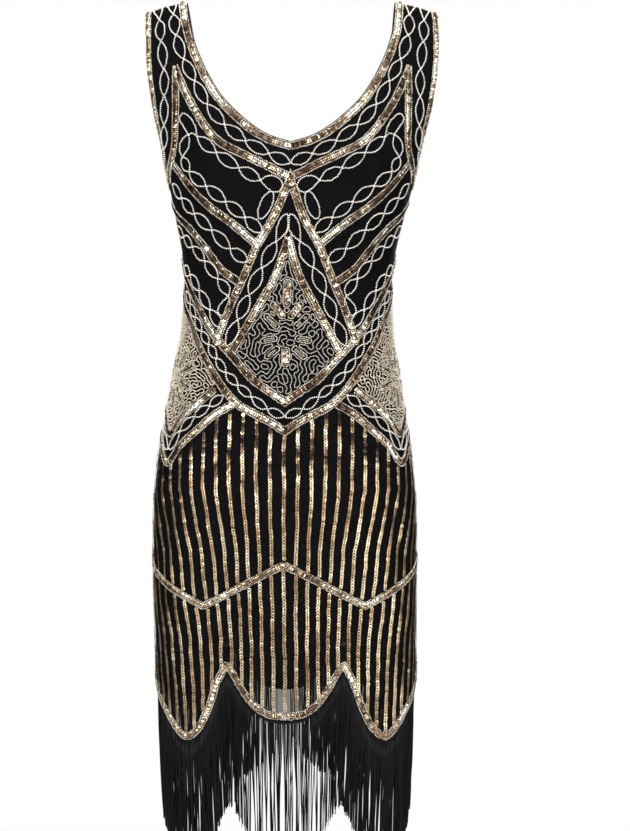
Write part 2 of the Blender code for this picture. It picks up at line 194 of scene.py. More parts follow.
def zigzagUp(share):
    return np.interp(share, zigzag[:, 0], zigzag[:, 1]) + cut["underarmDrop"]


clothMap = {"low": -0.76, "rowStep": 0.002, "columns": 97, "arcSteps": 160}

# Above the underarm the cloth climbs a quarter ellipse
climbTurns = np.linspace(0, math.pi / 2, 721)
climbMiddle = (climbTurns[1:] + climbTurns[:-1]) / 2
climbSteps = np.hypot(
    cut["underarmDrop"] * np.cos(climbMiddle), sectionTable[0, 2] * np.sin(climbMiddle)
) * np.diff(climbTurns)
climbLengths = np.concatenate(([0], np.cumsum(climbSteps)))
shoulderUp = climbLengths[-1]
neckFootUp = np.interp(
    math.asin(1 - cut["neckDrop"] / cut["underarmDrop"]), climbTurns, climbLengths
)


class Cloth:
    # the front or the back: a map from (along, up) to the figure, the same for both at the seams
    quarters = None

    def __init__(self, name):
        self.name = name
        self.side = side = {"front": -1, "back": 1}[name]
        self.ups = np.append(np.arange(clothMap["low"], shoulderUp - 1e-4, clothMap["rowStep"]), shoulderUp)
        angle = np.interp(self.ups, climbLengths, climbTurns)
        above = self.ups > 0
        rise = np.where(above, np.sin(angle), 0)
        height = np.where(above, cut["underarmDrop"] * (rise - 1), self.ups - cut["underarmDrop"])
        column = 2 if side < 0 else 3
        halfWidth = np.where(above, curveThrough(reachTable, height), curveThrough(sectionTable, height))
        depth = np.where(
            above, sectionTable[0, column] * np.cos(angle), curveThrough(sectionTable, height, column)
        )
        turns = np.linspace(0, math.pi / 2, clothMap["arcSteps"] + 1)
        power = 2 / cut["roundness"]
        outlineX = halfWidth[:, None] * np.sin(turns) ** power
        outlineY = depth[:, None] * np.maximum(0, np.cos(turns)) ** power
        arcs = np.cumsum(np.hypot(np.diff(outlineX, axis=1), np.diff(outlineY, axis=1)), axis=1)
        arcs = np.hstack((np.zeros((len(arcs), 1)), arcs))
        quarter = arcs[:, -1]
        if Cloth.quarters is None:
            Cloth.quarters = quarter
        shares = np.linspace(0, 1, clothMap["columns"])
        neckX = curveThrough(neckTable, height, 1 if side < 0 else 2)
        climb = np.minimum(1, rise / cut["armholeRound"])
        bay = cut["armholeBay"] * np.sqrt(1 - (1 - climb) ** 2)
        edgeX = halfWidth * (1 - bay ** cut["roundness"]) ** (1 / cut["roundness"])
        x, y, inner, outer = [], [], [], []
        for row in range(len(self.ups)):
            x.append(np.interp(shares * quarter[row], arcs[row], outlineX[row]))
            y.append(np.interp(shares * quarter[row], arcs[row], outlineY[row]))
            inner.append(np.interp(neckX[row], outlineX[row], arcs[row]) / quarter[row])
            outer.append(np.interp(edgeX[row], outlineX[row], arcs[row]) / quarter[row])
        x, y = np.array(x), np.array(y)
        fall = smoothStep((cut["foldTop"] - self.ups) / (cut["foldTop"] - cut["foldFull"]))[:, None]
        fold = cut["foldDepth"] * fall * np.cos(math.pi * shares / cut["frontCusp"])
        swell = 1 + fold / np.hypot(x, y)
        shoulderOut = np.maximum(0, x - cut["shoulderFlat"]) / (cut["strapOuter"] - cut["shoulderFlat"])
        z = height[:, None] - rise[:, None] * cut["shoulderSlope"] * shoulderOut**2
        self.points = np.stack((x * swell, side * (y * swell + cut["seamGap"] / 2), z), axis=-1)
        across = np.gradient(self.points, axis=1)
        upwards = np.gradient(self.points, axis=0)
        normals = np.cross(across, upwards) * -side
        normals[:, 0, 0] = 0
        normals[:, -1, 1] = 0
        normals[-1, :, 1] = 0
        self.normals = unit(normals)
        self.inner = np.where(self.ups > neckFootUp, np.array(inner), 0) * Cloth.quarters
        self.outer = np.where(above, np.array(outer), 1) * Cloth.quarters

    def quarterAt(self, up):
        return np.interp(up, self.ups, Cloth.quarters)

    def innerAt(self, up):
        return np.interp(up, self.ups, self.inner)

    def outerAt(self, up):
        return np.interp(up, self.ups, self.outer)

    def hemUp(self, share):
        # middle line of the hem's sequin band
        centre, side = scallops[self.name]
        nearer = share <= cut[self.name + "Cusp"]
        return np.where(nearer, curveThrough(centre, share), curveThrough(side, share)) + cut["underarmDrop"]

    def sunk(self, along, up):
        # depth of the creases and its slopes along and up the cloth
        depth, slopeAlong, slopeUp = (np.zeros(np.shape(along)) for _ in range(3))
        for a, u, degrees, length, half, deep in creases[self.name]:
            turn = math.radians(degrees)
            cos, sin = math.cos(turn), math.sin(turn)
            run = ((along - a / 1000) * cos + (up - u / 1000) * sin) / (length / 2000)
            off = ((up - u / 1000) * cos - (along - a / 1000) * sin) / (half / 1000)
            trough = deep / 1000 * np.exp(-off * off) * smoothStep(1.5 - np.abs(run))
            depth += trough
            steep = -2 * off * trough / (half / 1000)
            slopeAlong -= steep * sin
            slopeUp += steep * cos
        return depth, slopeAlong, slopeUp

    def place(self, along, up, lift=0.0):
        # points of the figure, `lift` outside the net's outer face, and the directions outwards there
        along, up = np.broadcast_arrays(np.asarray(along, float), np.asarray(up, float))
        row = np.interp(up, self.ups, np.arange(len(self.ups)))
        column = np.clip(np.abs(along) / self.quarterAt(up), 0, 1) * (clothMap["columns"] - 1)
        r = np.minimum(row.astype(int), len(self.ups) - 2)
        c = np.minimum(column.astype(int), clothMap["columns"] - 2)
        t, s = (row - r)[..., None], (column - c)[..., None]

        def mixed(grid):
            low = grid[r, c] * (1 - s) + grid[r, c + 1] * s
            return low * (1 - t) + (grid[r + 1, c] * (1 - s) + grid[r + 1, c + 1] * s) * t

        depth, slopeAlong, slopeUp = self.sunk(along, up)
        outward = unit(mixed(self.normals))
        points = mixed(self.points) + outward * (np.asarray(lift, float) - depth)[..., None]
        flip = np.where(along < 0, -1.0, 1.0)
        points[..., 0] = points[..., 0] * flip + leanAt(points[..., 2])
        outward[..., 0] *= flip
        rising = unit((0, 0, 1) - outward * outward[..., 2:])
        onward = np.cross(rising, outward) * -self.side
        outward = unit(outward + onward * slopeAlong[..., None] + rising * slopeUp[..., None])
        return points, outward

    def covers(self, along, up, margin=0.001):
        # whether the cloth is there
        along = np.abs(along)
        room = np.where(self.outerAt(up) > self.quarterAt(up) - 1e-6, 0.0005, margin)
        clearOfNeck = (up < neckFootUp) | (along > self.innerAt(up) + margin)
        return (along < self.outerAt(up) - room) & clearOfNeck & (up < shoulderUp - 0.0005)


sides = {name: Cloth(name) for name in ("front", "back")}
print("cloth map made")


# Shader maths: a wrapped socket whose operators add Math nodes
class Wire:
    def __init__(self, finish, socket):
        self.finish = finish
        self.socket = socket

    def maths(self, operation, first, second=0.0):
        return self.finish.node("ShaderNodeMath", {"operation": operation}, {0: first, 1: second})

    def __add__(self, other):
        return self.maths("ADD", self, other)

    def __sub__(self, other):
        return self.maths("SUBTRACT", self, other)

    def __rsub__(self, other):
        return self.maths("SUBTRACT", other, self)

    def __mul__(self, other):
        return self.maths("MULTIPLY", self, other)

    def sine(self):
        return self.maths("SINE", self)

    def size(self):
        return self.maths("ABSOLUTE", self)

    def least(self, other):
        return self.maths("MINIMUM", self, other)

    def below(self, other):
        return self.maths("LESS_THAN", self, other)

    __radd__ = __add__
    __rmul__ = __mul__


class Nodes:
    def __init__(self, owner):
        owner.use_nodes = True
        self.tree = owner.node_tree

    def node(self, kind, settings=None, inputs=None, output=0):
        made = self.tree.nodes.new(kind)
        for key, value in (settings or {}).items():
            if key == "stops":
                ramp = made.color_ramp
                for i, (position, colour) in enumerate(value):
                    stop = ramp.elements[i] if i < 2 else ramp.elements.new(position)
                    stop.position = position
                    stop.color = (*colour, 1)
            else:
                setattr(made, key, value)
        for key, value in (inputs or {}).items():
            self.feed(made.inputs[key], value)
        return Wire(self, made.outputs[output])

    def feed(self, socket, value):
        if isinstance(value, Wire):
            self.tree.links.new(value.socket, socket)
        elif isinstance(value, tuple) and len(value) == 3 and socket.type == "RGBA":
            socket.default_value = (*value, 1)
        else:
            socket.default_value = value

    def blend(self, share, first, second):
        return self.node(
            "ShaderNodeMix", {"data_type": "RGBA"}, {0: share, 6: first, 7: second}, output=2
        )


class Finish(Nodes):
    def __init__(self, name, **values):
        self.material = bpy.data.materials.new(name)
        super().__init__(self.material)
        self.shader = self.tree.nodes["Principled BSDF"]
        self.set(values)

    def set(self, values):
        for key, value in values.items():
            self.feed(self.shader.inputs[key], value)

    def attribute(self, name):
        return self.node("ShaderNodeAttribute", {"attribute_name": name}, output="Fac")

    def noise(self, scale, detail=2.0):
        spot = self.node("ShaderNodeTexCoord", output="Object")
        return self.node("ShaderNodeTexNoise", None, {"Vector": spot, "Scale": scale, "Detail": detail})

    def cloth(self):
        # the piece's own map: distance along and up the cloth, in metres
        place = self.node("ShaderNodeUVMap", {"uv_map": "cloth"})
        along = self.node("ShaderNodeSeparateXYZ", None, {0: place}, output="X")
        return along, Wire(self, along.socket.node.outputs["Y"])

    def bump(self, height, strength, distance):
        return self.node(
            "ShaderNodeBump", None, {"Height": height, "Strength": strength, "Distance": distance}, "Normal"
        )


def sequinFinish(name, stops, roughness):
    # foil-backed sequins; `tone` runs along the stops from one sequin to the next. Beside the sequins' own
    # gold tones, the near-black low end is painted shade and the cream-white high end a painted highlight
    finish = Finish(name, Metallic=0.9)
    tone = finish.attribute("tone")
    finish.set({
        "Base Color": finish.node("ShaderNodeValToRGB", {"stops": stops}, {"Fac": tone}),
        "Roughness": finish.noise(420.0) * 0.12 + roughness,
        "Normal": finish.bump(finish.noise(900.0), 0.2, 0.0003),
    })
    return finish.material


finishes = {
    "bandSequins": sequinFinish("band_sequins", (
        (0.00, (0.040, 0.023, 0.015)),
        (0.26, (0.200, 0.122, 0.080)),
        (0.48, (0.420, 0.325, 0.200)),
        (0.70, (0.680, 0.580, 0.420)),
        (1.00, (0.970, 0.940, 0.860)),
    ), 0.14),
    "stripeSequins": sequinFinish("stripe_sequins", (
        (0.00, (0.050, 0.032, 0.022)),
        (0.30, (0.270, 0.165, 0.100)),
        (0.55, (0.560, 0.390, 0.210)),
        (0.75, (0.720, 0.560, 0.330)),
        (1.00, (0.970, 0.930, 0.830)),
    ), 0.27),
}

# Beads: silver-lined glass, from pearl through champagne to bronze as `tone` grows
beadTones = (
    (0.00, (0.980, 0.950, 0.900)),
    (0.40, (0.960, 0.830, 0.620)),
    (0.70, (0.640, 0.490, 0.300)),
    (1.00, (0.240, 0.160, 0.090)),
)


def makeBeadFinish():
    finish = Finish("glass_beads", **{"Metallic": 0.05, "Coat Weight": 0.5, "Coat Roughness": 0.08})
    tone = finish.attribute("tone")
    finish.set({
        "Base Color": finish.node("ShaderNodeValToRGB", {"stops": beadTones}, {"Fac": tone}),
        "Roughness": finish.noise(700.0) * 0.18 + 0.22,
    })
    return finish.material


finishes["beads"] = makeBeadFinish()

# Net: fine diamond mesh
netFinish = {
    "colour": (0.0036, 0.0036, 0.0041),
    "worn": (0.0076, 0.0076, 0.0086),
    "meshPitch": 0.0016,
    "thread": 0.42,
    "slant": 0.6,  # width of a mesh as a share of its height
    "haze": 0.34,
    "threadAlpha": 0.57,
}


def makeNetFinish():
    finish = Finish("black_net", Roughness=0.8)
    along, up = finish.cloth()
    turn = 2 * math.pi / netFinish["meshPitch"]
    rising = ((along + up * netFinish["slant"]) * turn).sine().size()
    falling = ((along - up * netFinish["slant"]) * turn).sine().size()
    threads = rising.least(falling).below(netFinish["thread"])
    finish.set({
        "Base Color": finish.blend(finish.noise(60.0, 3.0), netFinish["colour"], netFinish["worn"]),
        "Alpha": threads * netFinish["threadAlpha"] + netFinish["haze"],
        "Normal": finish.bump(threads, 0.3, 0.0002),
        "Specular IOR Level": 0.04,
    })
    return finish.material


satinFinish = {"colour": (0.0022, 0.0021, 0.0023), "worn": (0.0046, 0.0045, 0.0048), "twillPitch": 0.0007}


def makeSatinFinish():
    finish = Finish("black_satin")
    along, up = finish.cloth()
    twill = ((along + up) * (2 * math.pi / satinFinish["twillPitch"])).sine()
    finish.set({
        "Base Color": finish.blend(finish.noise(35.0), satinFinish["colour"], satinFinish["worn"]),
        "Roughness": finish.noise(90.0) * 0.2 + 0.42,
        "Normal": finish.bump(twill, 0.15, 0.0001),
        "Specular IOR Level": 0.08,
    })
    return finish.material


def makeRayonFinish():
    finish = Finish("black_rayon")
    tone = finish.attribute("tone")
    finish.set({
        "Base Color": finish.blend(tone, (0.0016, 0.0016, 0.0020), (0.0110, 0.0105, 0.0115)),
        "Roughness": tone * 0.2 + 0.40,
        "Normal": finish.bump(finish.noise(1500.0), 0.3, 0.0002),
        "Specular IOR Level": 0.18,
    })
    return finish.material


finishes["net"] = makeNetFinish()
finishes["satin"] = makeSatinFinish()
finishes["rayon"] = makeRayonFinish()
print("finishes made")

tally = {}


def addPiece(name, mesh, finish, replaced=()):
    piece = bpy.data.objects.new(name, mesh)
    bpy.context.scene.collection.objects.link(piece)
    mesh.materials.append(finish)
    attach(piece, "root")
    if replaced:
        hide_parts(*replaced)
    return piece


def templateOf(shape):
    # corner places and faces of a small shape
    shape.verts.index_update()
    corners = np.array([vert.co for vert in shape.verts])
    return corners, [[vert.index for vert in face.verts] for face in shape.faces]


def joinedMesh(name, places, faces, tones, smooth):
    # one mesh of many copies; `places` and `tones` hold the corners of each
    count, size = places.shape[:2]
    corners = np.concatenate([np.array(face) for face in faces])
    lengths = np.array([len(face) for face in faces])
    corners = (corners[None] + np.arange(count)[:, None] * size).ravel()
    starts = np.concatenate(([0], np.cumsum(np.tile(lengths, count))[:-1]))
    mesh = bpy.data.meshes.new(name)
    mesh.vertices.add(count * size)
    mesh.vertices.foreach_set("co", places.astype(np.float32).ravel())
    mesh.loops.add(len(corners))
    mesh.loops.foreach_set("vertex_index", corners.astype(np.int32))
    mesh.polygons.add(len(starts))
    mesh.polygons.foreach_set("loop_start", starts.astype(np.int32))
    mesh.polygons.foreach_set("use_smooth", np.full(len(starts), smooth))
    tone = mesh.attributes.new("tone", "FLOAT", "POINT")
    tone.data.foreach_set("value", tones.astype(np.float32).ravel())
    mesh.update(calc_edges=True)
    tally[name] = count * sum(len(face) - 2 for face in faces)
    print(f"{name}: {count} copies, {tally[name]} triangles")
    return mesh


# Small shapes that are sewn on by the thousand, each about one unit across
def beadShape(around, rings):
    shape = bmesh.new()
    bmesh.ops.create_uvsphere(shape, u_segments=around, v_segments=rings, radius=0.5)
    return shape


def sequinShape():
    # a cupped sequin: a flat middle and a rim that slopes up to the wearer's side
    shape = bmesh.new()
    bmesh.ops.create_cone(
        shape, cap_ends=True, cap_tris=False, segments=7, radius1=0.5, radius2=0.30, depth=0.09
    )
    return shape


def ringShape():
    # a flat sequin with a hole, sharp at its outer edge
    shape = bmesh.new()
    bmesh.ops.create_circle(shape, cap_ends=False, segments=7, radius=0.5)
    edges = shape.edges[:]
    for scale, rise in ((0.46, 0.03), (1.0, -0.07), (1 / 0.46, 0.04)):
        grown = bmesh.ops.extrude_edge_only(shape, edges=edges)["geom"]
        verts = [item for item in grown if isinstance(item, bmesh.types.BMVert)]
        edges = [item for item in grown if isinstance(item, bmesh.types.BMEdge)]
        bmesh.ops.scale(shape, vec=(scale, scale, 1), verts=verts)
        bmesh.ops.translate(shape, vec=(0, 0, rise), verts=verts)
    bmesh.ops.remove_doubles(shape, verts=shape.verts, dist=1e-4)
    bmesh.ops.recalc_face_normals(shape, faces=shape.faces)
    return shape


shapes = {
    "bead": beadShape(5, 3),
    "edgeBead": beadShape(4, 3),
    "seed": beadShape(4, 2),
    "sequin": sequinShape(),
    "ring": ringShape(),
}
paintedRimShade = {"sequin": 0.50, "ring": 0.28}  # painted shade: sequins darker at the leading edge, where they shingle over the next, and rings darker all round their outer rim, between neighbours


class Strewing:
    # many copies of one small shape, gathered and then joined in one mesh
    def __init__(self, kind):
        self.corners, self.faces = templateOf(shapes[kind])
        # the rim corners that take the painted shade: a sequin's leading edge, a ring's outer rim
        rim = self.corners[:, 0] > 0.25 if kind == "sequin" else np.hypot(*self.corners.T[:2]) > 0.4
        self.shade = paintedRimShade.get(kind, 0) * rim
        self.smooth = kind in ("bead", "edgeBead", "seed")
        self.rows = []

    def add(self, places, outward, heading, size, tone, tilt=0.0, roll=0.0):
        # tilt raises the leading edge and roll the left one, in radians
        if len(places) == 0:
            return
        count = len(places)
        across = unit(np.cross(outward, heading))
        heading = unit(np.cross(across, outward))
        tilt = np.broadcast_to(tilt, count)[:, None]
        roll = np.broadcast_to(roll, count)[:, None]
        ahead = heading * np.cos(tilt) + outward * np.sin(tilt)
        top = outward * np.cos(tilt) - heading * np.sin(tilt)
        left = across * np.cos(roll) + top * np.sin(roll)
        top = top * np.cos(roll) - across * np.sin(roll)
        axes = np.stack((ahead, left, top), axis=1) * np.broadcast_to(size, count)[:, None, None]
        self.rows.append((places, axes, np.clip(np.broadcast_to(tone, count), 0, 1)))

    def make(self, name, finish, replaced=()):
        places, axes, tones = (np.concatenate(column) for column in zip(*self.rows))
        corners = np.einsum("vk,nkj->nvj", self.corners, axes) + places[:, None]
        # lower the tone at the rim corners: painted shade between neighbouring sequins
        tones = np.clip(tones[:, None] - self.shade, 0, 1)
        mesh = joinedMesh(name, corners, self.faces, tones, self.smooth)
        return addPiece(name, mesh, finishes[finish], replaced)


def smoothPath(points, step=0.001):
    # a smooth line through points given in millimetres, and each sample's place among the points
    points = np.array(points, float) / 1000
    marks = runOf(points)
    gaps = np.diff(marks)
    slopes = np.diff(points, axis=0) / gaps[:, None]
    inner = slopes[:0]
    if len(slopes) > 1:
        before, after = gaps[:-1, None], gaps[1:, None]
        inner = (slopes[:-1] * after + slopes[1:] * before) / (before + after)
    tangents = np.vstack((slopes[:1], inner, slopes[-1:]))
    stops = np.linspace(0, marks[-1], max(2, int(marks[-1] / step)))
    i = np.clip(np.searchsorted(marks, stops) - 1, 0, len(gaps) - 1)
    width = gaps[i][:, None]
    t = (stops - marks[i])[:, None] / width
    return cubic(t, width, points[i], points[i + 1], tangents[i], tangents[i + 1]), i + t[:, 0]


def lengthened(line, reach=0.020):
    # carries a line straight on past the centre line or the side seam, where it ends on one
    line = np.asarray(line)
    quarter = sides["front"].quarterAt(line[:, 1])
    for end, inside in ((0, 3), (-1, -4)):
        if line[end, 0] < 0.0015 or line[end, 0] > quarter[end] - 0.004:
            way = unit(line[end] - line[inside])
            extra = line[end] + way * reach * np.linspace(0.05, 1, 20)[:, None]
            line = np.vstack((extra[::-1], line)) if end == 0 else np.vstack((line, extra))
            quarter = sides["front"].quarterAt(line[:, 1])
    return line


def beside(line, offset):
    # a line that lies `offset` to the left of another
    way = unit(np.gradient(line, axis=0))
    offset = np.broadcast_to(offset, len(line))[:, None]
    return line + np.stack((-way[:, 1], way[:, 0]), axis=1) * offset


walkReach = 0.0005  # how far ahead and back a heading looks


def walk(cloth, line, pitch, lift=0.0, half=1, margin=0.0008, clear=None, drift=0.0):
    # equal steps along a line: places, directions outwards, headings, run and (along, up) of each;
    # `clear` holds points of other lines and the gap to keep from them
    line = np.asarray(line) * (half or 1, 1)
    ground, _ = cloth.place(line[:, 0], line[:, 1])
    marks = runOf(ground)
    count = max(1, int(round(marks[-1] / pitch)))
    stops = (np.arange(count) + 0.5) * marks[-1] / count

    spots = atRun(line, marks, stops)
    kept = cloth.covers(spots[:, 0], spots[:, 1], margin)
    if half:
        kept &= spots[:, 0] * half > -0.0002
    if clear is not None:
        others, gap = clear
        folded = np.abs(spots) * (1, 0) + spots * (0, 1)
        kept &= np.linalg.norm(folded[:, None] - others[None], axis=2).min(1) > gap
    stops, spots = stops[kept], spots[kept]
    before, after = (atRun(line, marks, stops + reach) for reach in (-walkReach, walkReach))
    if drift:
        way = unit(after - before)
        aside = np.stack((-way[:, 1], way[:, 0]), axis=1)
        spots = spots + aside * chance.normal(0, drift, (len(stops), 1))
    places, outward = cloth.place(spots[:, 0], spots[:, 1], lift)
    ahead, _ = cloth.place(*after.T)
    behind, _ = cloth.place(*before.T)
    return places, outward, unit(ahead - behind), stops, spots


def wander(stops, length, low=0.0, high=1.0):
    # a smooth random run of values along a line
    turns = stops / length * 2 * math.pi
    first, second, third = chance.uniform(0, 2 * math.pi, 3)
    wave = np.sin(turns + first) + 0.6 * np.sin(turns * 2.3 + second) + 0.4 * np.sin(turns * 4.1 + third)
    return low + (high - low) * np.clip(0.5 + wave / 2.6, 0, 1)


# How each kind is sewn: size and pitch, `lift` off the cloth, sideways `drift`, `tilt` and its `jitter`,
# tones between `dark` and `light` that change over `run`, and `grain` from one to the next. On the sequins
# the slow runs from dark to light are painted reflection and shade, as a band faces towards or away from the
# lights, and the grain is their own random tone
sewn = {
    "bandSequin": {"size": 0.0062, "pitch": 0.0028, "lift": 0.0013, "drift": 0.0001, "tilt": 0.34,
                   "jitter": 0.15, "dark": 0.06, "light": 1.15, "run": 0.150, "grain": 0.20},
    "edgeBead": {"size": 0.0020, "pitch": 0.0026, "lift": 0.0009, "drift": 0.00025, "tilt": 0.0,
                 "jitter": 0.9, "dark": 0.10, "light": 0.75, "run": 0.030, "grain": 0.25},
    "braidBead": {"size": 0.0022, "pitch": 0.0028, "lift": 0.0011, "drift": 0.00022, "tilt": 0.0,
                  "jitter": 0.9, "dark": -0.20, "light": 0.15, "run": 0.030, "grain": 0.22},
    "petalSequin": {"size": 0.0046, "pitch": 0.0026, "lift": 0.0012, "drift": 0.0008, "tilt": 0.25,
                    "jitter": 0.20, "dark": 0.30, "light": 0.90, "run": 0.020, "grain": 0.20},
}
for kind, like, changes in (
    ("lowSequin", "bandSequin", {"size": 0.0056, "dark": 0.32, "light": 0.88, "grain": 0.14}),
    ("lowBead", "edgeBead", {"size": 0.0018, "pitch": 0.0024}),
    ("armSequin", "bandSequin", {"size": 0.0054, "dark": 0.40, "light": 0.95}),
    ("seamBead", "edgeBead", {"pitch": 0.0028}),
    ("petalBead", "edgeBead", {"size": 0.0018, "pitch": 0.0020}),
):
    sewn[kind] = {**sewn[like], **changes}
sewnMargin = {"Sequin": 0.002, "Bead": 0.0008}  # least distance from the cloth's cut edges


def sew(target, cloth, line, half, kind, scale=None, clear=None):
    how = sewn[kind]
    margin = sewnMargin["Sequin" if "Sequin" in kind else "Bead"]
    places, outward, heading, stops, _ = walk(
        cloth, line, how["pitch"], how["lift"], half, margin, clear, how["drift"]
    )
    count = len(places)
    # on sequins the slow run of tone is painted reflection and shade; the grain is random tone
    tone = wander(stops, how["run"], how["dark"], how["light"]) + chance.normal(0, how["grain"], count)
    tilt = chance.normal(how["tilt"], how["jitter"], count)
    roll = chance.normal(0, how["jitter"], count)
    size = how["size"] * chance.uniform(0.93, 1.07, count) * (1 if scale is None else scale(stops))
    target.add(places, outward, heading, size, tone, tilt, roll)


# Ornament, in millimetres on the cloth: (along, up) of middle lines on one half. A later band stops
# short of the earlier ones
bands = {
    "spire": [(0, -2), (22, -55), (38, -82), (58, -128), (74, -162), (92, -207)],
    "lowerSwag": [(196, -124), (161, -158), (139, -177), (124, -200), (94, -243), (76, -267), (58, -284),
                  (36, -296), (15, -307), (0, -317)],
    "chevron": [(151, 152), (146, 136), (125, 90), (90, 46), (62, 31), (35, 18), (0, 0)],
    "upperSwag": [(198, -92), (170, -112), (130, -150), (107, -180), (92, -198), (61, -230), (42, -251),
                  (21, -266), (0, -280)],
    "diamond": [(0, -75), (15, -122), (36, -160), (52, -188), (71, -220)],
    "leg": [(151, 152), (151, 111), (153, 78), (160, 42), (191, 4)],
    "rib": [(167, 25), (147, 2), (106, -33), (72, -56), (41, -81)],
    "waist": [(205, -22), (184, -36), (140, -60), (111, -86), (87, -112), (61, -130)],
    "hipUpper": [(91, -264), (120, -285), (144, -301), (165, -320), (186, -301), (228, -272)],
    "hipLower": [(66, -283), (90, -296), (112, -313), (141, -335), (165, -357), (189, -335), (228, -307)],
}
bandLine = {
    "edge": 0.0045,  # middle line to the beads on either side
    "clear": 0.0030,  # beads to an earlier band's middle line
    "sequinClear": 0.0034,
    "tipShare": 0.62,
    "tipLength": 0.030,
    "legBelow": 0.1,  # the leg keeps clear of other bands below this height alone
}
neckBand = {"middle": -0.0064, "edges": (-0.0022, -0.0108)}
lowBand = {"edge": 0.0039}  # of the zigzag and the hem
# Half width, rounded ends and crossings of the two strands of each braid
braids = {
    "arm": (6.5, "", [(174, 330), (171, 234), (170, 194), (167, 150), (168, 112), (172, 74), (181, 44),
                      (203, 24)]),
    "neck": (7.0, "", [(158, 330), (152, 238), (149, 198), (139, 159), (124, 127), (107, 95), (84, 68),
                       (57, 47), (27, 30), (0, 18)]),
    "underChevron": (7.0, "", [(121, 54), (95, 33), (65, 13), (37, -3)]),
    "innerLoop": (7.5, "startend", [(22, -17), (36, -51)]),
    "overRib": (7.0, "", [(134, 58), (145, 31), (136, 12), (110, -8), (81, -29), (55, -49), (32, -68)]),
    "underRib": (7.0, "", [(180, 0), (156, -20), (130, -41), (101, -63), (74, -87), (50, -104)]),
    "underWaist": (6.5, "end", [(188, -54), (160, -68), (137, -82), (113, -101), (91, -124), (76, -146),
                                (87, -170)]),
    "overSwag": (6.5, "", [(170, -106), (144, -117), (122, -138), (102, -163), (83, -187)]),
    "spire": (7.5, "start", [(0, -46), (15, -79), (32, -111), (48, -145), (62, -177), (76, -210)]),
    "swag": (5.2, "", [(158, -137), (142, -154), (128, -172), (115, -190), (102, -207), (90, -225),
                       (76, -243), (60, -259), (42, -274), (22, -289), (0, -299)]),
    "hip": (5.5, "", [(79, -272), (98, -285), (120, -299), (143, -317), (165, -339), (187, -317),
                      (210, -299), (228, -288)]),
}
loops = {
    "chevronTip": [(121, 54), (124, 68), (132, 80), (141, 85), (146, 80), (141, 69), (134, 58)],
    "chevronTie": [(121, 54), (127, 59), (134, 58)],
    "innerTip": [(37, -3), (29, 2), (15, 0), (9, -9), (13, -17), (22, -18)],
    "innerTie": [(37, -3), (30, -11), (22, -18)],
}


def edgeLine(cloth, table, offset):
    # a line that follows the neck's or an armhole's cut edge
    if table == "neck":
        ups = np.linspace(neckFootUp, shoulderUp, 400)
        line = np.stack((cloth.innerAt(ups), ups), axis=1)
        line[0, 0] = 0
        line = lengthened(line)
    else:
        ups = np.linspace(0, shoulderUp, 400)
        line = np.stack((cloth.outerAt(ups), ups), axis=1)
    return beside(line, offset)


def shareLine(function):
    # a line given by its height at each share of the way to the side seam
    shares = np.linspace(0, 1, 400)
    ups = function(shares)
    return np.stack((shares * sides["front"].quarterAt(ups), ups), axis=1)


armBand = {"width": 0.0085, "narrow": 0.0040, "ease": 0.105, "edges": (0.0009, 0.0006), "sequinsFrom": 0.062}


def armWidth(up):
    return armBand["narrow"] + (armBand["width"] - armBand["narrow"]) * smoothStep(up / armBand["ease"])


def tipScale(run):
    # bands that start at the shoulder's tip widen from there
    return bandLine["tipShare"] + (1 - bandLine["tipShare"]) * smoothStep(run / bandLine["tipLength"])


halves = (1, -1)
for name, cloth in sides.items():
    edges = Strewing("edgeBead")
    yoke = Strewing("sequin")
    laid = np.full((1, 2), 9.0)  # far off, until a band is laid
    for bandName, points in bands.items():
        line = lengthened(smoothPath(points)[0])
        scale = tipScale if bandName in ("chevron", "leg") else None
        width = bandLine["edge"] * (1 if scale is None else scale(runOf(line)))
        near = laid if bandName != "leg" else laid[laid[:, 1] < bandLine["legBelow"]]
        for half in halves:
            sew(yoke, cloth, line, half, "bandSequin", scale, (near, bandLine["sequinClear"]))
            for way in (-1, 1):
                edge = beside(line, way * width)
                sew(edges, cloth, edge, half, "edgeBead", clear=(laid, bandLine["clear"]))
        laid = np.vstack((laid, line[::2]))
    yoke.make(f"{name}_band_sequins", "bandSequins")

    neck = Strewing("sequin")
    for half in halves:
        sew(neck, cloth, edgeLine(cloth, "neck", neckBand["middle"]), half, "bandSequin")
        for offset in neckBand["edges"]:
            sew(edges, cloth, edgeLine(cloth, "neck", offset), half, "edgeBead")
    neck.make(f"{name}_neck_sequins", "bandSequins", [f"neck_trim_{name}"])

    for kind, function in (("zigzag", zigzagUp), ("hem", cloth.hemUp)):
        band = Strewing("sequin")
        line = lengthened(shareLine(function))
        for half in halves:
            sew(band, cloth, line, half, "lowSequin")
            for way in (-1, 1):
                sew(edges, cloth, beside(line, way * lowBand["edge"]), half, "lowBead")
        band.make(f"{name}_{kind}_sequins", "bandSequins", [f"{kind}_band_{name}"])

    shoulder = np.linspace(cloth.innerAt(shoulderUp), cloth.outerAt(shoulderUp), 60)
    for half in halves:
        edge = edgeLine(cloth, "arm", 0.0)
        width = armWidth(edge[:, 1])
        for line in (beside(edge, armBand["edges"][0]), beside(edge, width - armBand["edges"][1])):
            sew(edges, cloth, line, half, "edgeBead")
        seam = np.stack((shoulder, np.full(60, shoulderUp - 0.0014)), axis=1)
        sew(edges, cloth, seam, half, "seamBead")
    edges.make(f"{name}_band_beads", "beads")

for armSide, half in (("left", 1), ("right", -1)):
    arm = Strewing("sequin")
    for cloth in sides.values():
        edge = edgeLine(cloth, "arm", 0.0)
        line = beside(edge, armWidth(edge[:, 1]) / 2)[edge[:, 1] > armBand["sequinsFrom"]]
        sew(arm, cloth, line, half, "armSequin")
    arm.make(f"armhole_sequins_{armSide}", "bandSequins", [f"armhole_trim_{armSide}"])
print("bands sewn")


